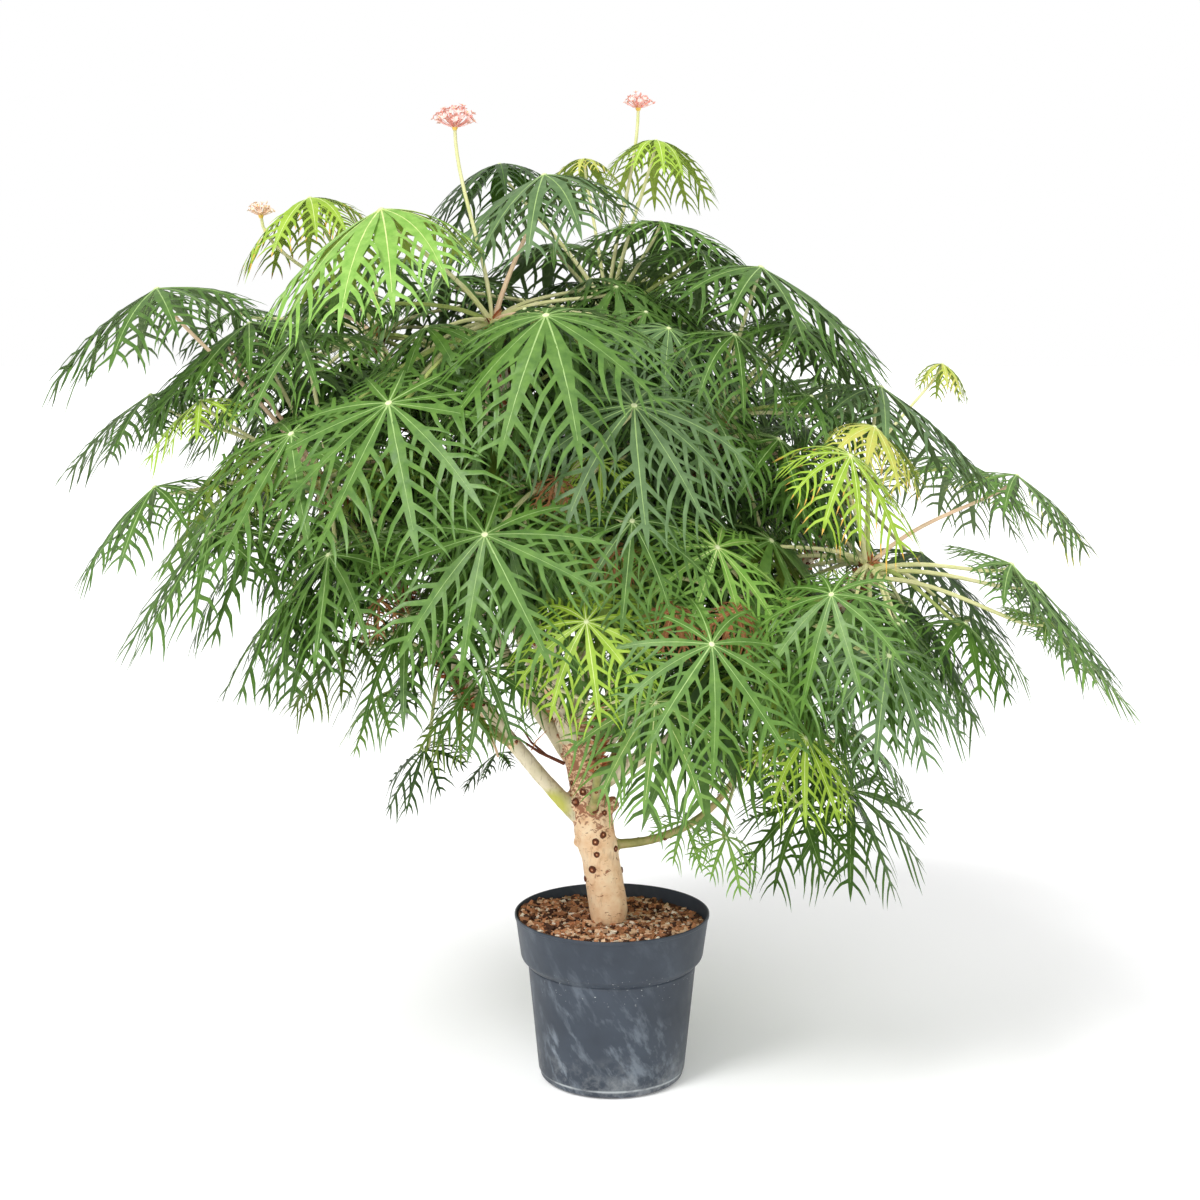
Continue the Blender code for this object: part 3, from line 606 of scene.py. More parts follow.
def trunk_radius(share):
    radius = TRUNK_RADIUS + (TRUNK_TOP_RADIUS - TRUNK_RADIUS) * share**1.6
    radius -= ROOT_WAIST * exp(-share / 0.10)
    return radius + FORK_SWELL * exp(-(((share - 0.6) / 0.13) ** 2))


def bough_path(bough, carriers):
    start = point_at(carriers[bough.carrier], bough.share)
    shoot = polar(bough.bearing, bough.reach, bough.height)
    outward = degrees(atan2(shoot.y - start.y, shoot.x - start.x))
    final = heading(outward, bough.arrive)
    tip = shoot - final * STEM_LENGTH
    length = (tip - start).length
    first = start + heading(outward, bough.leave) * LEAVE_PULL * length
    path = bezier(start, first, tip - final * ARRIVE_PULL * length, tip, BOUGH_STEPS)
    return path, (path[-1] - path[-2]).normalized()


def grow_limbs():
    """Every limb's path and radii, and each shoot's tip and way."""
    path = trunk_path()
    carriers = {"trunk": path}
    shares = [k / TRUNK_STEPS for k in range(TRUNK_STEPS + 1)]
    limbs = {"trunk": ([point_at(path, share) for share in shares], [trunk_radius(share) for share in shares])}
    shoots = {}
    for name, bough in BOUGHS.items():
        path, final = bough_path(bough, carriers)
        carriers[name] = path
        whole = path + [path[-1] + final * STEM_LENGTH * step / 4 for step in (1, 2, 3, 4)]
        whole.append(whole[-1] + final * 0.006)
        radii = []
        for k in range(len(whole)):
            radius = bough.radius * (1 - BOUGH_TAPER * min(1.0, k / BOUGH_STEPS))
            radius *= 1 + 0.35 * exp(-k / 1.6)
            radii.append(radius * 0.75 ** (2 * max(0, k - BOUGH_STEPS) / 5))
        limbs[name] = (whole, radii)
        shoots[name] = (whole[-2], final)
    return limbs, shoots


def trunk_at(limbs, height):
    """The centre of the trunk at a height, and its radius there."""
    path, radii = limbs["trunk"]
    k = min(range(len(path)), key=lambda k: abs(path[k].z - height))
    return path[k], radii[k]


def blob(centre, radius, rng):
    """Points and faces of a lumpy round knob."""
    points = [centre + UP * radius]
    for k in range(1, KNOB_ROWS):
        tilt = pi * k / KNOB_ROWS
        for across, up in circle(KNOB_SIDES):
            way = Vector((sin(tilt) * across, sin(tilt) * up, cos(tilt)))
            points.append(centre + way * radius * rng.uniform(0.85, 1.12))
    points.append(centre - UP * radius)
    quads, caps = ring_faces(KNOB_ROWS - 1, KNOB_SIDES, 1, 0, len(points) - 1)
    faces = [cap[::-1] for cap in caps]
    for a, b, c, d in quads:
        faces += [(a, d, c), (a, c, b)]
    return points, faces


def fuse(mesh):
    """The mesh's closed forms as one calm skin of even grain."""
    bark = place_in_scene("limbs_bark", mesh)
    joined = bark.modifiers.new("fuse", "REMESH")
    joined.mode = "VOXEL"
    joined.voxel_size = BARK_VOXEL
    calm = bark.modifiers.new("calm", "SMOOTH")
    calm.factor = CALM
    calm.iterations = CALM_ROUNDS
    bpy.context.view_layer.update()
    graph = bpy.context.evaluated_depsgraph_get()
    skin = bpy.data.meshes.new_from_object(bark.evaluated_get(graph), depsgraph=graph)
    bark.modifiers.clear()
    bark.data = skin
    skin.name = "limbs_bark"
    return bark


def make_bark(limbs, rng):
    """The trunk and boughs as one skin: tubes and knobs fused, then raised into bark."""
    points, faces = [], []

    def take(found, *rows):
        faces.extend(tuple(i + len(points) for i in row) for part in rows for row in part)
        points.extend(found)

    for name, (path, radii) in limbs.items():
        take(*tube(path, radii, 40 if name == "trunk" else 16))
        for share in KNOTS if name != "trunk" else ():
            centre, near = point_at(path, share), radii[int(share * (len(radii) - 1))]
            way = heading(rng.uniform(0, 360), rng.uniform(-20, 20))
            take(*blob(centre + way * near * 0.55, near * 0.72, rng))
    for bearing, height, radius in SCARS:
        centre, near = trunk_at(limbs, height)
        take(*blob(centre + heading(bearing, 0) * (near - radius * 0.45), radius, rng))
    for bearing, height, radius, reach in STUBS:
        centre, near = trunk_at(limbs, height)
        way = heading(bearing, 25)
        path = [centre, centre + way * near, centre + way * (near + reach)]
        take(*tube(path, [radius * 1.3, radius * 1.1, radius * 0.75], 12))
    mesh = bpy.data.meshes.new("limbs_bark")
    mesh.from_pydata(points, [], faces)
    bark = fuse(mesh)
    raise_bark(bark.data, limbs)
    settle(bark, ["trunk", *("bough_" + name for name in BOUGHS)])
    return bark


def read(vertices, what):
    found = np.empty(len(vertices) * 3)
    vertices.foreach_get(what, found)
    return found.reshape(-1, 3)


def raise_bark(skin, limbs):
    """Pushes the skin out and in along itself by the bark's furrows, and deals out its kinds of bark."""
    count = len(skin.vertices)
    places, normals = read(skin.vertices, "co"), read(skin.vertices, "normal")
    centres, thick, kinds = [], [], []
    for name, (path, radii) in limbs.items():
        for j in range(len(path)):
            centres.append(tuple(path[j]))
            thick.append(radii[j])
            share = j / (len(path) - 1)
            twig = share > 0.90 or radii[8] < TWIG_RADIUS
            kinds.append(0 if name == "trunk" or share < 0.04 else 2 if twig else 1)
    centres, thick = np.array(centres), np.array(thick)
    nearest = np.empty(count, dtype=int)
    for start in range(0, count, BATCH):
        part = places[start : start + BATCH]
        gap = np.linalg.norm(part[:, None, :] - centres[None], axis=2) - thick[None]
        nearest[start : start + BATCH] = gap.argmin(axis=1)
    depth = np.clip(thick[nearest] * RELIEF, RELIEF_LEAST, RELIEF_MOST)
    lift = np.empty(count)
    for k, (x, y, z) in enumerate(places):
        furrow = noise.noise(Vector((x * FURROW, y * FURROW, z * FURROW_LONG)))
        lump = noise.noise(Vector((x * LUMP + 9, y * LUMP, z * LUMP)))
        lift[k] = furrow * 0.8 + lump * 1.3
    above = np.clip((places[:, 2] - SOIL_TOP - 0.004) / 0.01, 0, 1)
    places = places + normals * (lift * depth * above)[:, None]
    places[:, 2] = np.maximum(places[:, 2], SOIL_TOP)
    skin.vertices.foreach_set("co", places.reshape(-1))
    for kind in ("trunk_bark", "bough_bark", "twig_bark"):
        skin.materials.append(surface(kind))
    first = np.array([polygon.vertices[0] for polygon in skin.polygons])
    skin.polygons.foreach_set("material_index", np.array(kinds)[nearest][first].astype(np.int32))
    skin.shade_smooth()
    skin.update()


def make_scars(bark, limbs, rng):
    """A dark sunken ring on each leaf scar, set on the bark's own surface."""
    piece = Piece("leaf_scars")
    tree = BVHTree.FromObject(bark, bpy.context.evaluated_depsgraph_get())
    spots = [(trunk_at(limbs, height)[0], heading(bearing, 0), radius) for bearing, height, radius in SCARS]
    for path, radii in list(limbs.values())[1:]:
        for k in range(SCARS_PER_BOUGH):
            share = 0.10 + 0.12 * k + rng.uniform(-0.03, 0.03)
            spots.append((point_at(path, share), heading(GOLDEN_ANGLE * k, rng.uniform(-15, 30)), radii[3] * 0.34))
    count = SCAR_SIDES * len(SCAR_RINGS)
    quads, caps = ring_faces(len(SCAR_RINGS), SCAR_SIDES, 0, count, count + 1)
    for centre, way, radius in spots:
        hit, normal, _, _ = tree.ray_cast(centre + way * 0.06, -way, 0.07)
        if hit is None:
            continue
        side = normal.orthogonal().normalized()
        other = normal.cross(side)
        points = []
        for share, rise in SCAR_RINGS:
            for across, up in circle(SCAR_SIDES):
                wide = radius * share * rng.uniform(0.9, 1.1)
                points.append(hit + (side * across + other * up) * wide + normal * rise * radius)
        points += [hit - normal * 0.35 * radius, hit - normal * 0.02 * radius]
        piece.add(points, [("scale_dark", quads), ("scale_rust", caps)])
    piece.finish()


def add_scale(piece, root, way, length, width, rng):
    """One dry, pointed scale: a curved sliver with a flat face."""
    kind = rng.choice(SCALE_KINDS)
    side = way.orthogonal().normalized()
    side.rotate(Quaternion(way, rng.uniform(0, 6.28)))
    bend = side.cross(way) * rng.uniform(-0.35, 0.35)
    thick = side.cross(way) * width * 0.22
    middle = root + way * length * 0.5 + bend * length * 0.3
    points = [root - side * width * 0.5, root + side * width * 0.5, root + thick]
    points += [middle - side * width * 0.4, middle + side * width * 0.4, middle + thick]
    points.append(root + way * length + bend * length)
    quads = [(0, 1, 4, 3), (1, 2, 5, 4), (2, 0, 3, 5)]
    caps = [(2, 1, 0), (3, 4, 6), (4, 5, 6), (5, 3, 6)]
    piece.add(points, [(kind, quads), (kind, caps)])


def make_scales(limbs, rng):
    """The dry scales that wrap the end of every shoot, the dead twigs by the fork and the tufts of dry needles."""
    piece = Piece("bud_scales")
    for name in BOUGHS:
        path, radii = limbs[name]
        count, first = (50, 0.88) if name == "lower_right" else (150, 0.60)
        for k in range(count):
            share = first + (1 - first) * (k / (count - 1)) ** 0.7
            centre = point_at(path, share)
            along = (point_at(path, min(1.0, share + 0.02)) - point_at(path, share - 0.02)).normalized()
            out = along.orthogonal().normalized()
            out.rotate(Quaternion(along, radians(GOLDEN_ANGLE * k)))
            near = radii[min(len(radii) - 1, int(share * (len(radii) - 1)))]
            way = (out + along * rng.uniform(0.2, 1.3)).normalized()
            length = rng.uniform(0.007, 0.017)
            add_scale(piece, centre + out * near * 0.8, way, length, length * 0.35, rng)
    for start, bend, end, thick, kind in TWIGS:
        add_tube(piece, [Vector(start), Vector(bend), Vector(end)], [thick, thick * 0.8, thick * 0.4], 7, kind)
    for name, share, reach, count in ((name, *tuft) for name, tufts in TUFTS.items() for tuft in tufts):
        centre = point_at(limbs[name][0], share)
        for k in range(count):
            way = heading(GOLDEN_ANGLE * k, degrees(asin(1 - 2 * (k + 0.5) / count)))
            start = centre + way * reach * rng.uniform(0.10, 0.45)
            lean = (way + DOWN * rng.uniform(0, 0.7) + heading(rng.uniform(0, 360), 0) * 0.5).normalized()
            length = reach * rng.uniform(0.35, 0.75)
            add_scale(piece, start, lean, length, length * rng.uniform(0.10, 0.22), rng)
    piece.finish()


# Leaves


class Lobe:
    """One lobe's outline in shares of its length: whole for its inner part, then cut into forward-curving teeth."""

    LAST = 0.83  # where the last tooth stands
    EDGE = LAST + 0.10  # where the plain tip starts
    LONGEST = {5: 0.37, 4: 0.36}
    WIDE = {"young": 1.9, "broad": 1.5, "inner": 1.35, "full": 1.1}
    LEAVE, ARRIVE = radians(57), radians(18)
    VEIN = 0.040
    THICK, TOOTH_THICK = 0.0045, 0.0028
    OUTLINE = ((0.38, 0.66), (0.74, 0.36), (1, 0), (0.74, -0.36), (0.38, -0.66))
    INNER_OUTLINE = ((0.45, 0.62), (1, 0), (0.45, -0.62))

    def __init__(self, teeth, lobes, make, rng):
        self.points, self.groups = [], {}
        self.make, self.wide = make, self.WIDE[make]
        first = 0.40 if make == "young" else 0.31 if teeth > 4 else 0.36
        self.places = [first + (self.LAST - first) / (teeth - 1) * k for k in range(teeth)]
        self.body = [(0.06, 0.06 * tan(pi / lobes)), (0.14, 0.024 * self.wide), (0.24, 0.033 * self.wide)]
        self.hub, self.tip = self.put(0), self.put(1.0)
        shares = [share for share, _ in self.body] + [place - self.VEIN for place in self.places] + [self.EDGE]
        self.ribs = {
            face: [self.put(share, lift=face * self.THICK * (1.1 - share)) for share in shares] for face in (1, -1)
        }
        for hand in (1, -1):
            self.grow_half(hand, rng)
        self.points = np.array(self.points)
        self.groups = [(key, np.array(rows)) for key, rows in self.groups.items()]

    def put(self, share, forward=0.0, aside=0.0, lift=0.0):
        self.points.append((share, forward, aside, lift))
        return len(self.points) - 1

    def put_tooth(self, k, hand, rng):
        """The points of one tooth: the two of its foot, its outline, and the rise along its middle on each face."""
        teeth, place = len(self.places), self.places[k]
        share = k / (teeth - 1)
        width = (0.040 - 0.018 * share) * (1 + (self.wide - 1) * (1 - share))
        base = 0.0145 + 0.010 * sin(pi * (0.15 + 0.7 * share)) + (0.006 if teeth < 5 else 0)
        long = self.LONGEST[teeth] * (0.42 + 0.58 * sin(pi * (0.12 + 0.76 * share)))
        long *= 0.85 if self.make == "young" else 1.0
        place += rng.uniform(-0.018, 0.018)
        long *= rng.uniform(0.72, 1.18)
        leave = self.LEAVE + rng.uniform(-0.18, 0.18)

        def on(along, across, lift=0.0):
            """A point of the tooth: along its length, and across it in shares of its base."""
            mean = leave + (self.ARRIVE - leave) * along / 2
            angle = leave + (self.ARRIVE - leave) * along
            forward = long * along * cos(mean) - base * across * sin(angle)
            aside = width + long * along * sin(mean) + base * across * cos(angle)
            return self.put(place, forward, hand * aside, lift)

        foot = [self.put(place + step, 0, hand * width) for step in (-base, base)]
        if self.make == "inner":
            return *foot, [on(*spot) for spot in self.INNER_OUTLINE], None
        outline = [on(*spot) for spot in self.OUTLINE]
        lifts = {1: self.TOOTH_THICK, -1: -self.TOOTH_THICK}
        return *foot, outline, {face: [on(along, 0, lift) for along in (0.30, 0.70)] for face, lift in lifts.items()}

    def grow_half(self, hand, rng):
        """The lobe on one side of its rib: the edge, the teeth and the faces between them."""
        edges = [self.put(share, 0, hand * half) for share, half in self.body]
        rows = [self.put_tooth(k, hand, rng) for k in range(len(self.places))]
        faces = (1,) if self.make == "inner" else (1, -1)
        first = len(edges)

        def add(face, kind, *found):
            for row in found:
                kind = "under" if face < 0 and kind == "top" else kind
                self.groups.setdefault((kind, len(row)), []).append(row[::-1] if face * hand > 0 else row)

        for face in faces:
            rib = self.ribs[face]
            add(face, "top", (self.hub, edges[0], rib[0]))
            add(face, "top", *((rib[k], edges[k], edges[k + 1], rib[k + 1]) for k in range(first - 1)))
            add(face, "top", (rib[first - 1], edges[-1], rows[0][0], rib[first]))
            for k, (low, high, outline, middles) in enumerate(rows):
                vein = rib[first + k]
                if k + 1 < len(rows):
                    add(face, "top", (vein, high, rows[k + 1][0], rib[first + k + 1]))
                if middles is None:
                    add(face, "top", (vein, low, high), (low, outline[0], outline[2], high))
                    add(face, "end", outline)
                    continue
                inner, outer = middles[face]
                a, b, point, c, d = outline
                add(face, "top", (vein, low, inner), (vein, inner, high), (low, a, inner), (a, b, outer, inner))
                add(face, "end", (b, point, outer), (point, c, outer))
                add(face, "top", (c, d, inner, outer), (d, high, inner))
        edge = self.put(self.EDGE, 0, hand * 0.012)
        for face in faces:
            rib = self.ribs[face]
            add(face, "top", (rib[-2], rows[-1][1], edge, rib[-1]))
            add(face, "end", (rib[-1], edge, self.tip))


def make_lobes(rng):
    """A few lobes of each make, so that no two neighbours are alike."""
    found = {}
    for lobes, teeth in ((11, 5), (10, 5), (9, 4), (8, 4)):
        for make in ("full", "broad", "young", "inner"):
            found[lobes, make] = [Lobe(teeth, lobes, make, rng) for _ in range(LOBE_VARIANTS)]
    return found


class Rib:
    """The midrib of one lobe: it leaves the hub under the leaf's plane and bends down by its own weight."""

    def __init__(self, hub, axis, out, length, droop, sway):
        side = axis.cross(out)
        start = (out * cos(CUP) - axis * sin(CUP)).normalized()
        self.path, ways = [hub.copy()], [start]
        for k in range(RIB_STEPS):
            share = (k + 1) / RIB_STEPS
            ways.append((start + DOWN * droop * share**1.4 + side * sway * share).normalized())
            self.path.append(self.path[-1] + ways[-1] * length / RIB_STEPS)
        self.length = length
        self.points, self.ways, self.side = np.array(self.path), np.array(ways), np.array(side)

    def place(self, rows, keel, curl, twist):
        """The lobe's points in space. keel folds it along the rib, curl lets its teeth hang, twist turns it."""
        share, forward, aside, lift = rows.T
        place = np.clip(share * RIB_STEPS, 0, RIB_STEPS - 1e-6)
        k = place.astype(int)
        part = (place - k)[:, None]
        centre = self.points[k] * (1 - part) + self.points[k + 1] * part
        way = self.ways[k] * (1 - part) + self.ways[k + 1] * part
        way /= np.linalg.norm(way, axis=1)[:, None]
        normal = np.cross(way, self.side)
        angle = (twist * share)[:, None]
        side = self.side * np.cos(angle) + normal * np.sin(angle)
        normal = np.cross(way, side)
        rise = lift + keel * np.abs(aside) - curl * aside**2
        moved = way * forward[:, None] + side * aside[:, None] + normal * rise[:, None]
        sag = (0.9 * aside**2 + 0.25 * np.abs(aside) * forward)[:, None] * np.array([0, 0, -1])
        return centre + (moved + sag) * self.length


def in_front(bearing):
    """1 straight in front, 0 at the sides and behind."""
    return max(0.0, -sin(radians(bearing)))


def leaf_axis(leaf):
    """The way a leaf faces: nearly up at the crown's top, and further outward below it and in front."""
    if leaf.facing:
        return heading(leaf.facing[0], 90 - leaf.facing[1])
    low = min(1.0, max(0.0, (CROWN_TOP - leaf.height) / (CROWN_TOP - CROWN_LOW)))
    return heading(leaf.bearing, 90 - LEAN_TOP - low * (LEAN_LOW + LEAN_FRONT * in_front(leaf.bearing)))


def lobe_count(leaf):
    if leaf.inner:
        return 9 if leaf.span > 0.24 else 8
    return 11 if leaf.span > 0.34 else 10 if leaf.span > 0.20 else 9 if leaf.span > 0.15 else 8


def grow_leaf(blades, stalks, shoot, leaf, lobes, rng):
    """One leaf: its lobes round the hub, their ribs, and the stalk that carries it."""
    hub = polar(leaf.bearing, leaf.reach, leaf.height)
    axis = leaf_axis(leaf)
    flat = polar(leaf.facing[0] if leaf.facing else leaf.bearing, 1, 0)
    out = (flat - axis * flat.dot(axis)).normalized()
    count = lobe_count(leaf)
    make = "inner" if leaf.inner else "young" if leaf.droop >= 1.2 else "broad" if leaf.height > 0.92 else "full"
    top, under, rib_kind, dry = TINTS[leaf.tint]
    phase = rng.uniform(-0.25, 0.25)
    for j in range(count):
        angle = 2 * pi * (j + phase + rng.uniform(-0.10, 0.10)) / count
        share = 1 - (1 - leaf.shortest) * (1 - cos(angle)) / 2
        length = leaf.span / 2 * share * rng.uniform(0.93, 1.03)
        droop = leaf.droop * rng.uniform(0.82, 1.18)
        rib = Rib(hub, axis, Quaternion(axis, angle) @ out, length, droop, rng.uniform(-0.22, 0.22))
        lobe = rng.choice(lobes[count, make])
        points = rib.place(lobe.points, rng.uniform(0.05, 0.35), rng.uniform(0.6, 1.8), rng.uniform(-0.55, 0.55))
        kinds = {"top": top, "under": under, "end": dry if dry and rng.random() < 0.6 else top}
        blades.add(points, [(kinds[kind], rows) for (kind, _), rows in lobe.groups])
        path = rib.path[: RIB_SHOWN : 2 if leaf.inner else 1]
        radii = [RIB_THICK * leaf.span / 2 * (1 - 0.85 * k / (len(path) - 1)) + 0.0001 for k in range(len(path))]
        add_tube(blades, path, radii, 3 if leaf.inner else 4, rib_kind)
    boss = HUB_BOSS * leaf.span / 2 + 0.001
    rise = [hub + axis * boss * step for step in (-0.8, -0.25, 0.25, 0.55)]
    add_tube(blades, rise, [boss * step for step in (0.5, 1.0, 0.95, 0.4)], 8, top if leaf.tint == "dry" else "hub")
    reach = (hub - shoot).length
    way = ((hub - shoot).normalized() + UP * 0.5).normalized()
    path = bezier(shoot, shoot + way * 0.4 * reach, hub - axis * 0.15 * reach, hub - axis * boss * 0.4, PETIOLE_STEPS)
    slim = PETIOLE_RADIUS * (0.75 + 0.25 * min(1.0, leaf.span / 0.34))
    radii = [slim * (1.25 - 0.5 * k / PETIOLE_STEPS + 0.5 * exp(-k / 0.8)) for k in range(PETIOLE_STEPS + 1)]
    stalk = "stalk_pink" if rng.random() < 0.10 else "stalk_green" if rng.random() < 0.25 else "stalk_pale"
    add_tube(stalks, path, radii, 7, stalk)


def ring_leaves(name, shoot, rng):
    """The leaves of a made-up rosette, each of them lower and further out than the one before."""
    first, count, farthest, rise, span = RINGS[name]
    for k in range(count):
        reach = farthest * (0.62 + 0.38 * (k / (count - 1)))
        hub = shoot + polar(first + k * GOLDEN_ANGLE, reach, rise - RING_FALL * k)
        wide = span * rng.uniform(0.92, 1.08)
        yield Leaf(bearing_of(hub), hypot(hub.x, hub.y), hub.z, wide, RING_TINTS[k])


def inner_leaves(name, path, rng):
    """The rosette's older leaves, round the shoot by the golden angle, with where on the limb each one sits."""
    bough = BOUGHS[name]
    for k in range(bough.young + bough.old):
        reach, rise, span = rng.uniform(*INNER_REACH), rng.uniform(*INNER_HEIGHT), rng.uniform(*INNER_SPAN)
        if name in SMALL:
            reach, span, rise = reach * 0.7, span * 0.7, rise * 0.6
        foot = path[-2]
        if k >= bough.young:
            foot = point_at(path, rng.uniform(0.50, 0.92))
            reach, rise = reach * 0.85, abs(rise) * 0.8
        # Older leaves stand a little lower and nearer in front, under the hubs of the leaves that are seen
        turn = bough.turn + k * GOLDEN_ANGLE
        front = in_front(turn)
        hub = foot + polar(turn, reach * (1 - 0.45 * front), rise - 0.04 * front)
        inside = all(low < spot < high for spot, (low, high) in zip((hub.x, hub.z), OPENING))
        if inside or (hub.z < OPEN_UNDER and k >= bough.young):
            continue
        tint = rng.choice(LOW_TINTS if name in LOW else INNER_TINTS)
        yield foot, Leaf(bearing_of(hub), hypot(hub.x, hub.y), hub.z, span, tint, rng.uniform(0.75, 1.15), inner=True)


def make_foliage(limbs, shoots, rng):
    lobes = make_lobes(rng)
    stalks = Piece("leaf_stalks")
    for name, (shoot, final) in shoots.items():
        blades = Piece("leaves_" + name)
        leaves = [Leaf(*row) for row in LEAVES.get(name, ())]
        if name in RINGS:
            leaves += ring_leaves(name, shoot, rng)
        for k, leaf in enumerate(leaves):
            grow_leaf(blades, stalks, shoot - final * min(0.04, 0.004 * k), leaf, lobes, rng)
        for foot, leaf in list(inner_leaves(name, limbs[name][0], rng)):
            grow_leaf(blades, stalks, foot, leaf, lobes, rng)
        blades.finish(replaces=["mass_" + name])
    for name, place in FLOWERS.items():
        shoot, top = shoots[name][0], polar(place.bearing, place.reach, place.height)
        rise = UP * 0.3 * (top - shoot).length
        path = bezier(shoot, shoot + rise, top - rise, top, PEDUNCLE_STEPS)
        radii = [PEDUNCLE_RADIUS * (1.2 - 0.3 * k / PEDUNCLE_STEPS) for k in range(PEDUNCLE_STEPS + 1)]
        add_tube(stalks, path, radii, 8, "stalk_pale")
    stalks.finish()


def add_petal(piece, root, way, side, length, width, kind):
    """A thin pointed oval petal as a closed form."""
    normal = way.cross(side).normalized()
    middle = root + way * length * 0.55
    points = [root, middle + side * width, root + way * length, middle - side * width]
    points += [middle + normal * width * 0.30, middle - normal * width * 0.12]
    rows = [(0, 1, 4), (1, 2, 4), (2, 3, 4), (3, 0, 4), (1, 0, 5), (2, 1, 5), (3, 2, 5), (0, 3, 5)]
    piece.add(points, [(kind, rows)])


def make_blossom(rng):
    """Each flat-topped head: stalks that fan out from one point, with a small five-petalled flower or bud on each."""
    piece = Piece("blossom")
    for name, place in FLOWERS.items():
        top = polar(place.bearing, place.reach, place.height)
        half = place.width / 2
        kinds = ("coral_faded", "coral_faded") if name == "upper_left" else ("coral", "coral_deep")
        count = 46 if place.width > 0.04 else 34
        add_tube(piece, [top - UP * 0.003, top, top + UP * 0.004], [0.0022, 0.0034, 0.0022], 8, "stamen")
        for k in range(count):
            way = heading(GOLDEN_ANGLE * k, degrees(asin(0.30 + 0.69 * (k + 0.5) / count)))
            long = half * rng.uniform(0.82, 1.12)
            end = top + way * long
            bend = top + way * long * 0.5 - UP * half * 0.05
            add_tube(piece, [top, bend, end], [PEDICEL_RADIUS * 1.3, PEDICEL_RADIUS, PEDICEL_RADIUS], 4, kinds[k % 2])
            facing = (way + UP * 0.4).normalized()
            side = facing.orthogonal().normalized()
            if rng.random() < 0.22:
                ends = [end, end + facing * 0.0016, end + facing * 0.0038]
                add_tube(piece, ends, [0.0008, 0.0014, 0.0004], 6, kinds[1])
                continue
            for j in range(5):
                spoke = side.copy()
                spoke.rotate(Quaternion(facing, 2 * pi * j / 5 + k))
                petal = (spoke + facing * 0.55).normalized()
                length = half * rng.uniform(0.20, 0.28)
                add_petal(piece, end, petal, facing.cross(spoke), length, length * 0.34, kinds[0])
            if k % 3 == 0:
                add_tube(piece, [end, end + facing * 0.0026], [0.0006, 0.0005], 4, "stamen")
    piece.finish()


# Pot and soil


def body_radius(height):
    """The pot's outer radius below its collar."""
    top = COLLAR_FOOT - STEP_HEIGHT
    return BODY_FOOT_RADIUS + (BODY_TOP_RADIUS - BODY_FOOT_RADIUS) * height / top


def rounded(profile, cut, steps=3):
    """The outline with each of its inner corners cut into a small curve."""
    profile = [Vector((*spot, 0)) for spot in profile]
    found = [profile[0]]
    for before, here, after in zip(profile, profile[1:], profile[2:]):
        reach = min(cut, (before - here).length * 0.45, (after - here).length * 0.45)
        first = here + (before - here).normalized() * reach
        final = here + (after - here).normalized() * reach
        for k in range(steps + 1):
            t = k / steps
            found.append(first.lerp(here, t).lerp(here.lerp(final, t), t))
    return [(spot.x, spot.y) for spot in (*found, profile[-1])]


def lathe(piece, profile, sides, kind, wobble):
    """A closed form turned about the Z axis, from an outline that starts and ends on the axis."""
    points = [(0, 0, profile[0][1])]
    for radius, height in profile[1:-1]:
        for j in range(sides):
            angle = 2 * pi * j / sides
            wide = radius * (1 + wobble * sin(3 * angle + 1) * height / POT_HEIGHT)
            points.append((wide * cos(angle), wide * sin(angle), height))
    quads, caps = ring_faces(len(profile) - 2, sides, 1, 0, len(points))
    piece.add([*points, (0, 0, profile[-1][1])], [(kind, quads), (kind, caps)])


def make_pot():
    foot, body, collar, step = BODY_FOOT_RADIUS, BODY_TOP_RADIUS, COLLAR_FOOT_RADIUS, COLLAR_FOOT - STEP_HEIGHT
    outside = [
        (0, 0.0015),
        (foot - 0.020, 0.0015),
        (foot - 0.018, 0),
        (foot - FOOT_ROUNDING * 0.8, 0),
        (body_radius(0.35 * FOOT_ROUNDING) - 0.0015, 0.4 * FOOT_ROUNDING),
        (body_radius(LIME_LINE) - 0.0009, LIME_LINE),
        (body_radius(LIME_LINE) + 0.0002, LIME_LINE + 0.0012),
        (body, step),
        (body - 0.0012, step + 0.0016),
        (body + 0.0024, step + 0.0036),
        (collar - 0.0012, COLLAR_FOOT - 0.0030),
        (collar, COLLAR_FOOT),
        (RIM_RADIUS - 0.0012, POT_HEIGHT - 0.0050),
        (RIM_RADIUS, POT_HEIGHT - 0.0042),
        (RIM_RADIUS, POT_HEIGHT),
    ]
    inside = [
        (RIM_RADIUS - POT_WALL, POT_HEIGHT),
        (collar - POT_WALL, COLLAR_FOOT),
        (body - POT_WALL, step),
        (body_radius(FOOT_ROUNDING) - POT_WALL, FOOT_ROUNDING),
        (foot - FOOT_ROUNDING - POT_WALL, POT_WALL),
        (0, POT_WALL),
    ]
    pot = Piece("pot_shell")
    lathe(pot, rounded(outside + inside, 0.0014), POT_SIDES, "pot_plastic", 0.004)
    pot.finish(sharp=35, replaces=["pot"])


def soil_height(x, y):
    """The potting mix lies unevenly: heaped to the rim in front and at the sides, hollow behind the trunk."""
    reach = hypot(x, y) / 0.117
    rise = 0.0030 * noise.noise(Vector((x * 30, y * 30, 3))) + 0.0035 * exp(-((reach / 0.32) ** 2))
    heaped = min(1.0, max(0.0, 0.75 - y / 0.09 - x / 0.16))
    rise += 0.0115 * heaped * reach**2 - 0.010 * exp(-((x - 0.050) ** 2 + (y - 0.055) ** 2) / 0.0020)
    return SOIL_TOP - 0.001 + rise


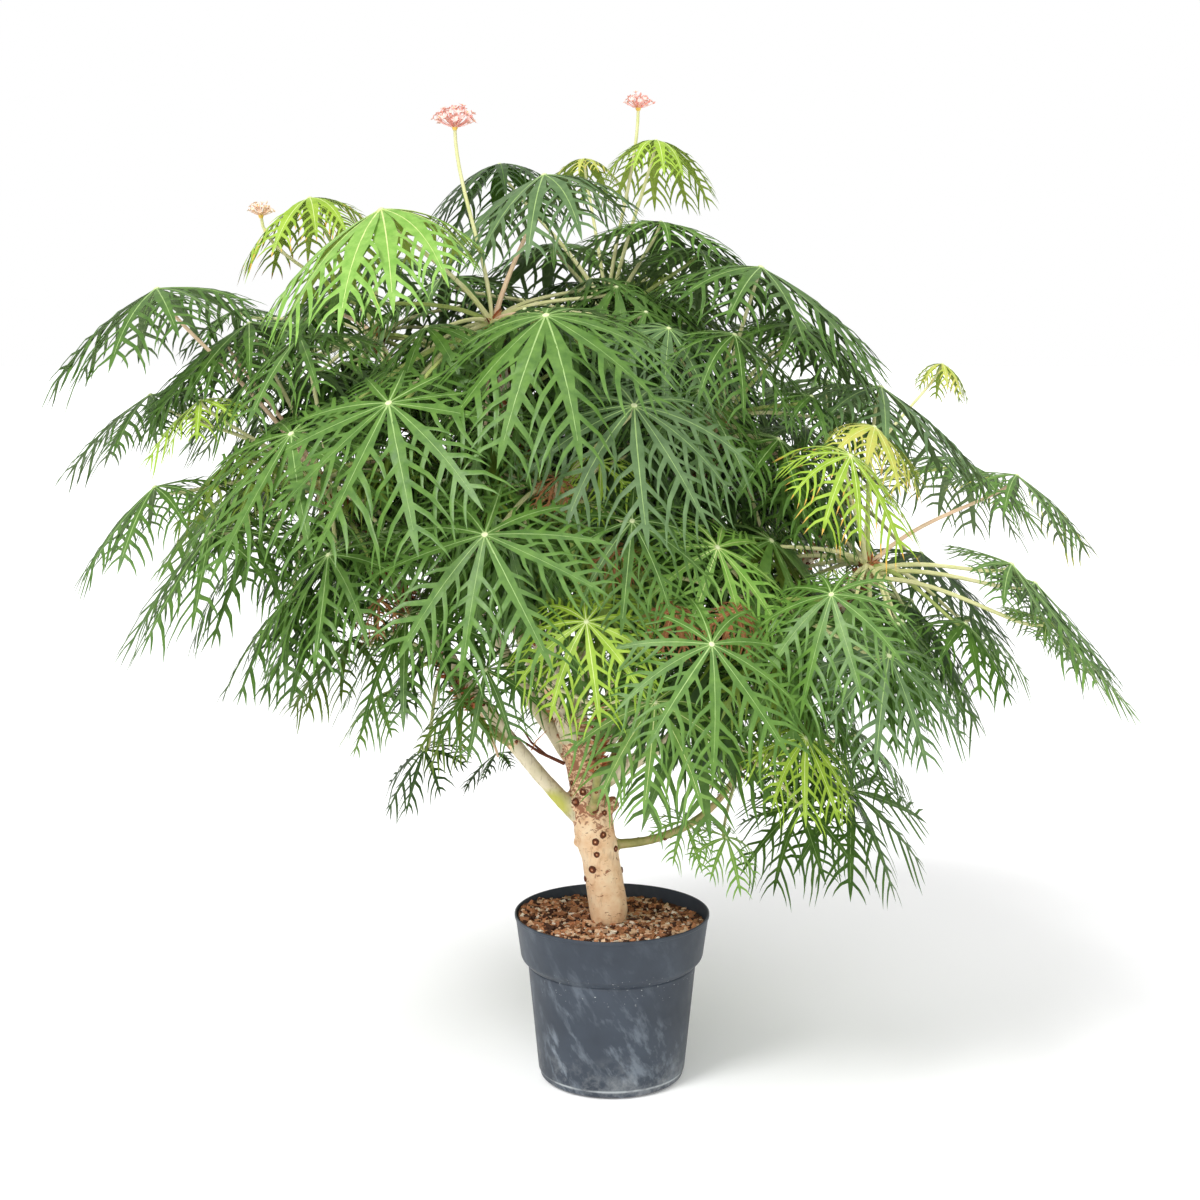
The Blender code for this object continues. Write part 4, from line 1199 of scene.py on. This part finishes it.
def add_chip(piece, edge, rng):
    """A chip of bark: a lumpy, tilted box on the soil."""
    reach = (edge - 0.004) * sqrt(rng.random())
    turn = rng.uniform(0, 2 * pi)
    x, y = reach * cos(turn), reach * sin(turn)
    size = rng.uniform(0.0015, 0.0050) * (1.3 if rng.random() < 0.12 else 1.0)
    scale = Vector((size, size * rng.uniform(0.35, 0.8), size * rng.uniform(0.2, 0.5)))
    tilt = Quaternion(heading(rng.uniform(0, 360), 0), rng.gauss(0, 0.45)) @ Quaternion(UP, rng.uniform(0, 6.28))
    top = min(soil_height(x, y) + rng.uniform(-0.001, 0.0024), POT_HEIGHT - 0.0010)
    corners = []
    for corner in ((a, b, c) for a in (-1, 1) for b in (-1, 1) for c in (-1, 1)):
        spot = Vector([side * long * rng.uniform(0.6, 1.1) for side, long in zip(corner, scale)])
        corners.append(Vector((x, y, top)) + tilt @ spot)
    rows = [(0, 1, 3, 2), (4, 6, 7, 5), (0, 4, 5, 1), (2, 3, 7, 6), (0, 2, 6, 4), (1, 5, 7, 3)]
    piece.add(corners, [(rng.choice(CHIP_KINDS), rows)])


def make_soil(rng):
    piece = Piece("potting_soil")
    wall = POT_WALL + 0.0006
    slope = (RIM_RADIUS - COLLAR_FOOT_RADIUS) / COLLAR_HEIGHT
    edge = COLLAR_FOOT_RADIUS - wall + slope * (SOIL_TOP - POT_HEIGHT + COLLAR_HEIGHT)
    points = [(0, 0, soil_height(0, 0))]
    for k in range(1, SOIL_RINGS + 1):
        places = [(edge * k / SOIL_RINGS * across, edge * k / SOIL_RINGS * up) for across, up in circle(SOIL_SIDES)]
        points += [(x, y, soil_height(x, y)) for x, y in places]
    radius = BODY_TOP_RADIUS - wall - 0.002
    points += [(radius * across, radius * up, height) for height in (0.162, 0.140) for across, up in circle(SOIL_SIDES)]
    points.append((0, 0, 0.140))
    quads, caps = ring_faces(SOIL_RINGS + 2, SOIL_SIDES, 1, 0, len(points) - 1)
    rows = [[(a, d, c, b) for a, b, c, d in quads], [cap[::-1] for cap in caps]]
    piece.add(points, [("potting_mix", part) for part in rows])
    for _ in range(CHIPS):
        add_chip(piece, edge, rng)
    piece.finish(sharp=30, replaces=["soil"])


# The studio


def make_studio():
    mesh = bpy.data.meshes.new("studio_floor")
    corners = [(x * FLOOR_HALF, y * FLOOR_HALF, 0) for x, y in ((-1, -1), (1, -1), (1, 1), (-1, 1))]
    mesh.from_pydata(corners, [], [(0, 1, 2, 3)])
    mesh.materials.append(surface("studio_floor"))
    place_in_scene("studio_floor", mesh)

    world = bpy.data.worlds.new("studio")
    world.use_nodes = True
    nodes = Nodes(world.node_tree)
    seen = nodes.add("LightPath").outputs["Is Camera Ray"]
    strength = nodes.span(seen, 0.0, 1.0, STUDIO_FILL, 1.0)
    nodes.fill(world.node_tree.nodes["Background"], {"Color": (1, 1, 1, 1), "Strength": strength})
    bpy.context.scene.world = world

    for name, (way, spread, power) in SUNS.items():
        light = bpy.data.lights.new(name, "SUN")
        light.angle = radians(spread)
        light.energy = power
        place_in_scene(name, light).rotation_euler = Vector(way).to_track_quat("-Z", "Y").to_euler()

    camera = place_in_scene("camera", bpy.data.cameras.new("camera"))
    camera.location = CAMERA_PLACE
    camera.rotation_euler = (radians(90 - CAMERA_PITCH), 0, 0)
    camera.data.sensor_width = SENSOR
    camera.data.lens = LENS
    bpy.context.scene.camera = camera
    bpy.context.scene.view_settings.view_transform = "Standard"


def main():
    make_studio()
    make_pot()
    make_soil(random.Random(SEED + 1))
    limbs, shoots = grow_limbs()
    bark = make_bark(limbs, random.Random(SEED + 2))
    make_scars(bark, limbs, random.Random(SEED + 3))
    make_scales(limbs, random.Random(SEED + 4))
    make_foliage(limbs, shoots, random.Random(SEED))
    make_blossom(random.Random(SEED + 5))


main()
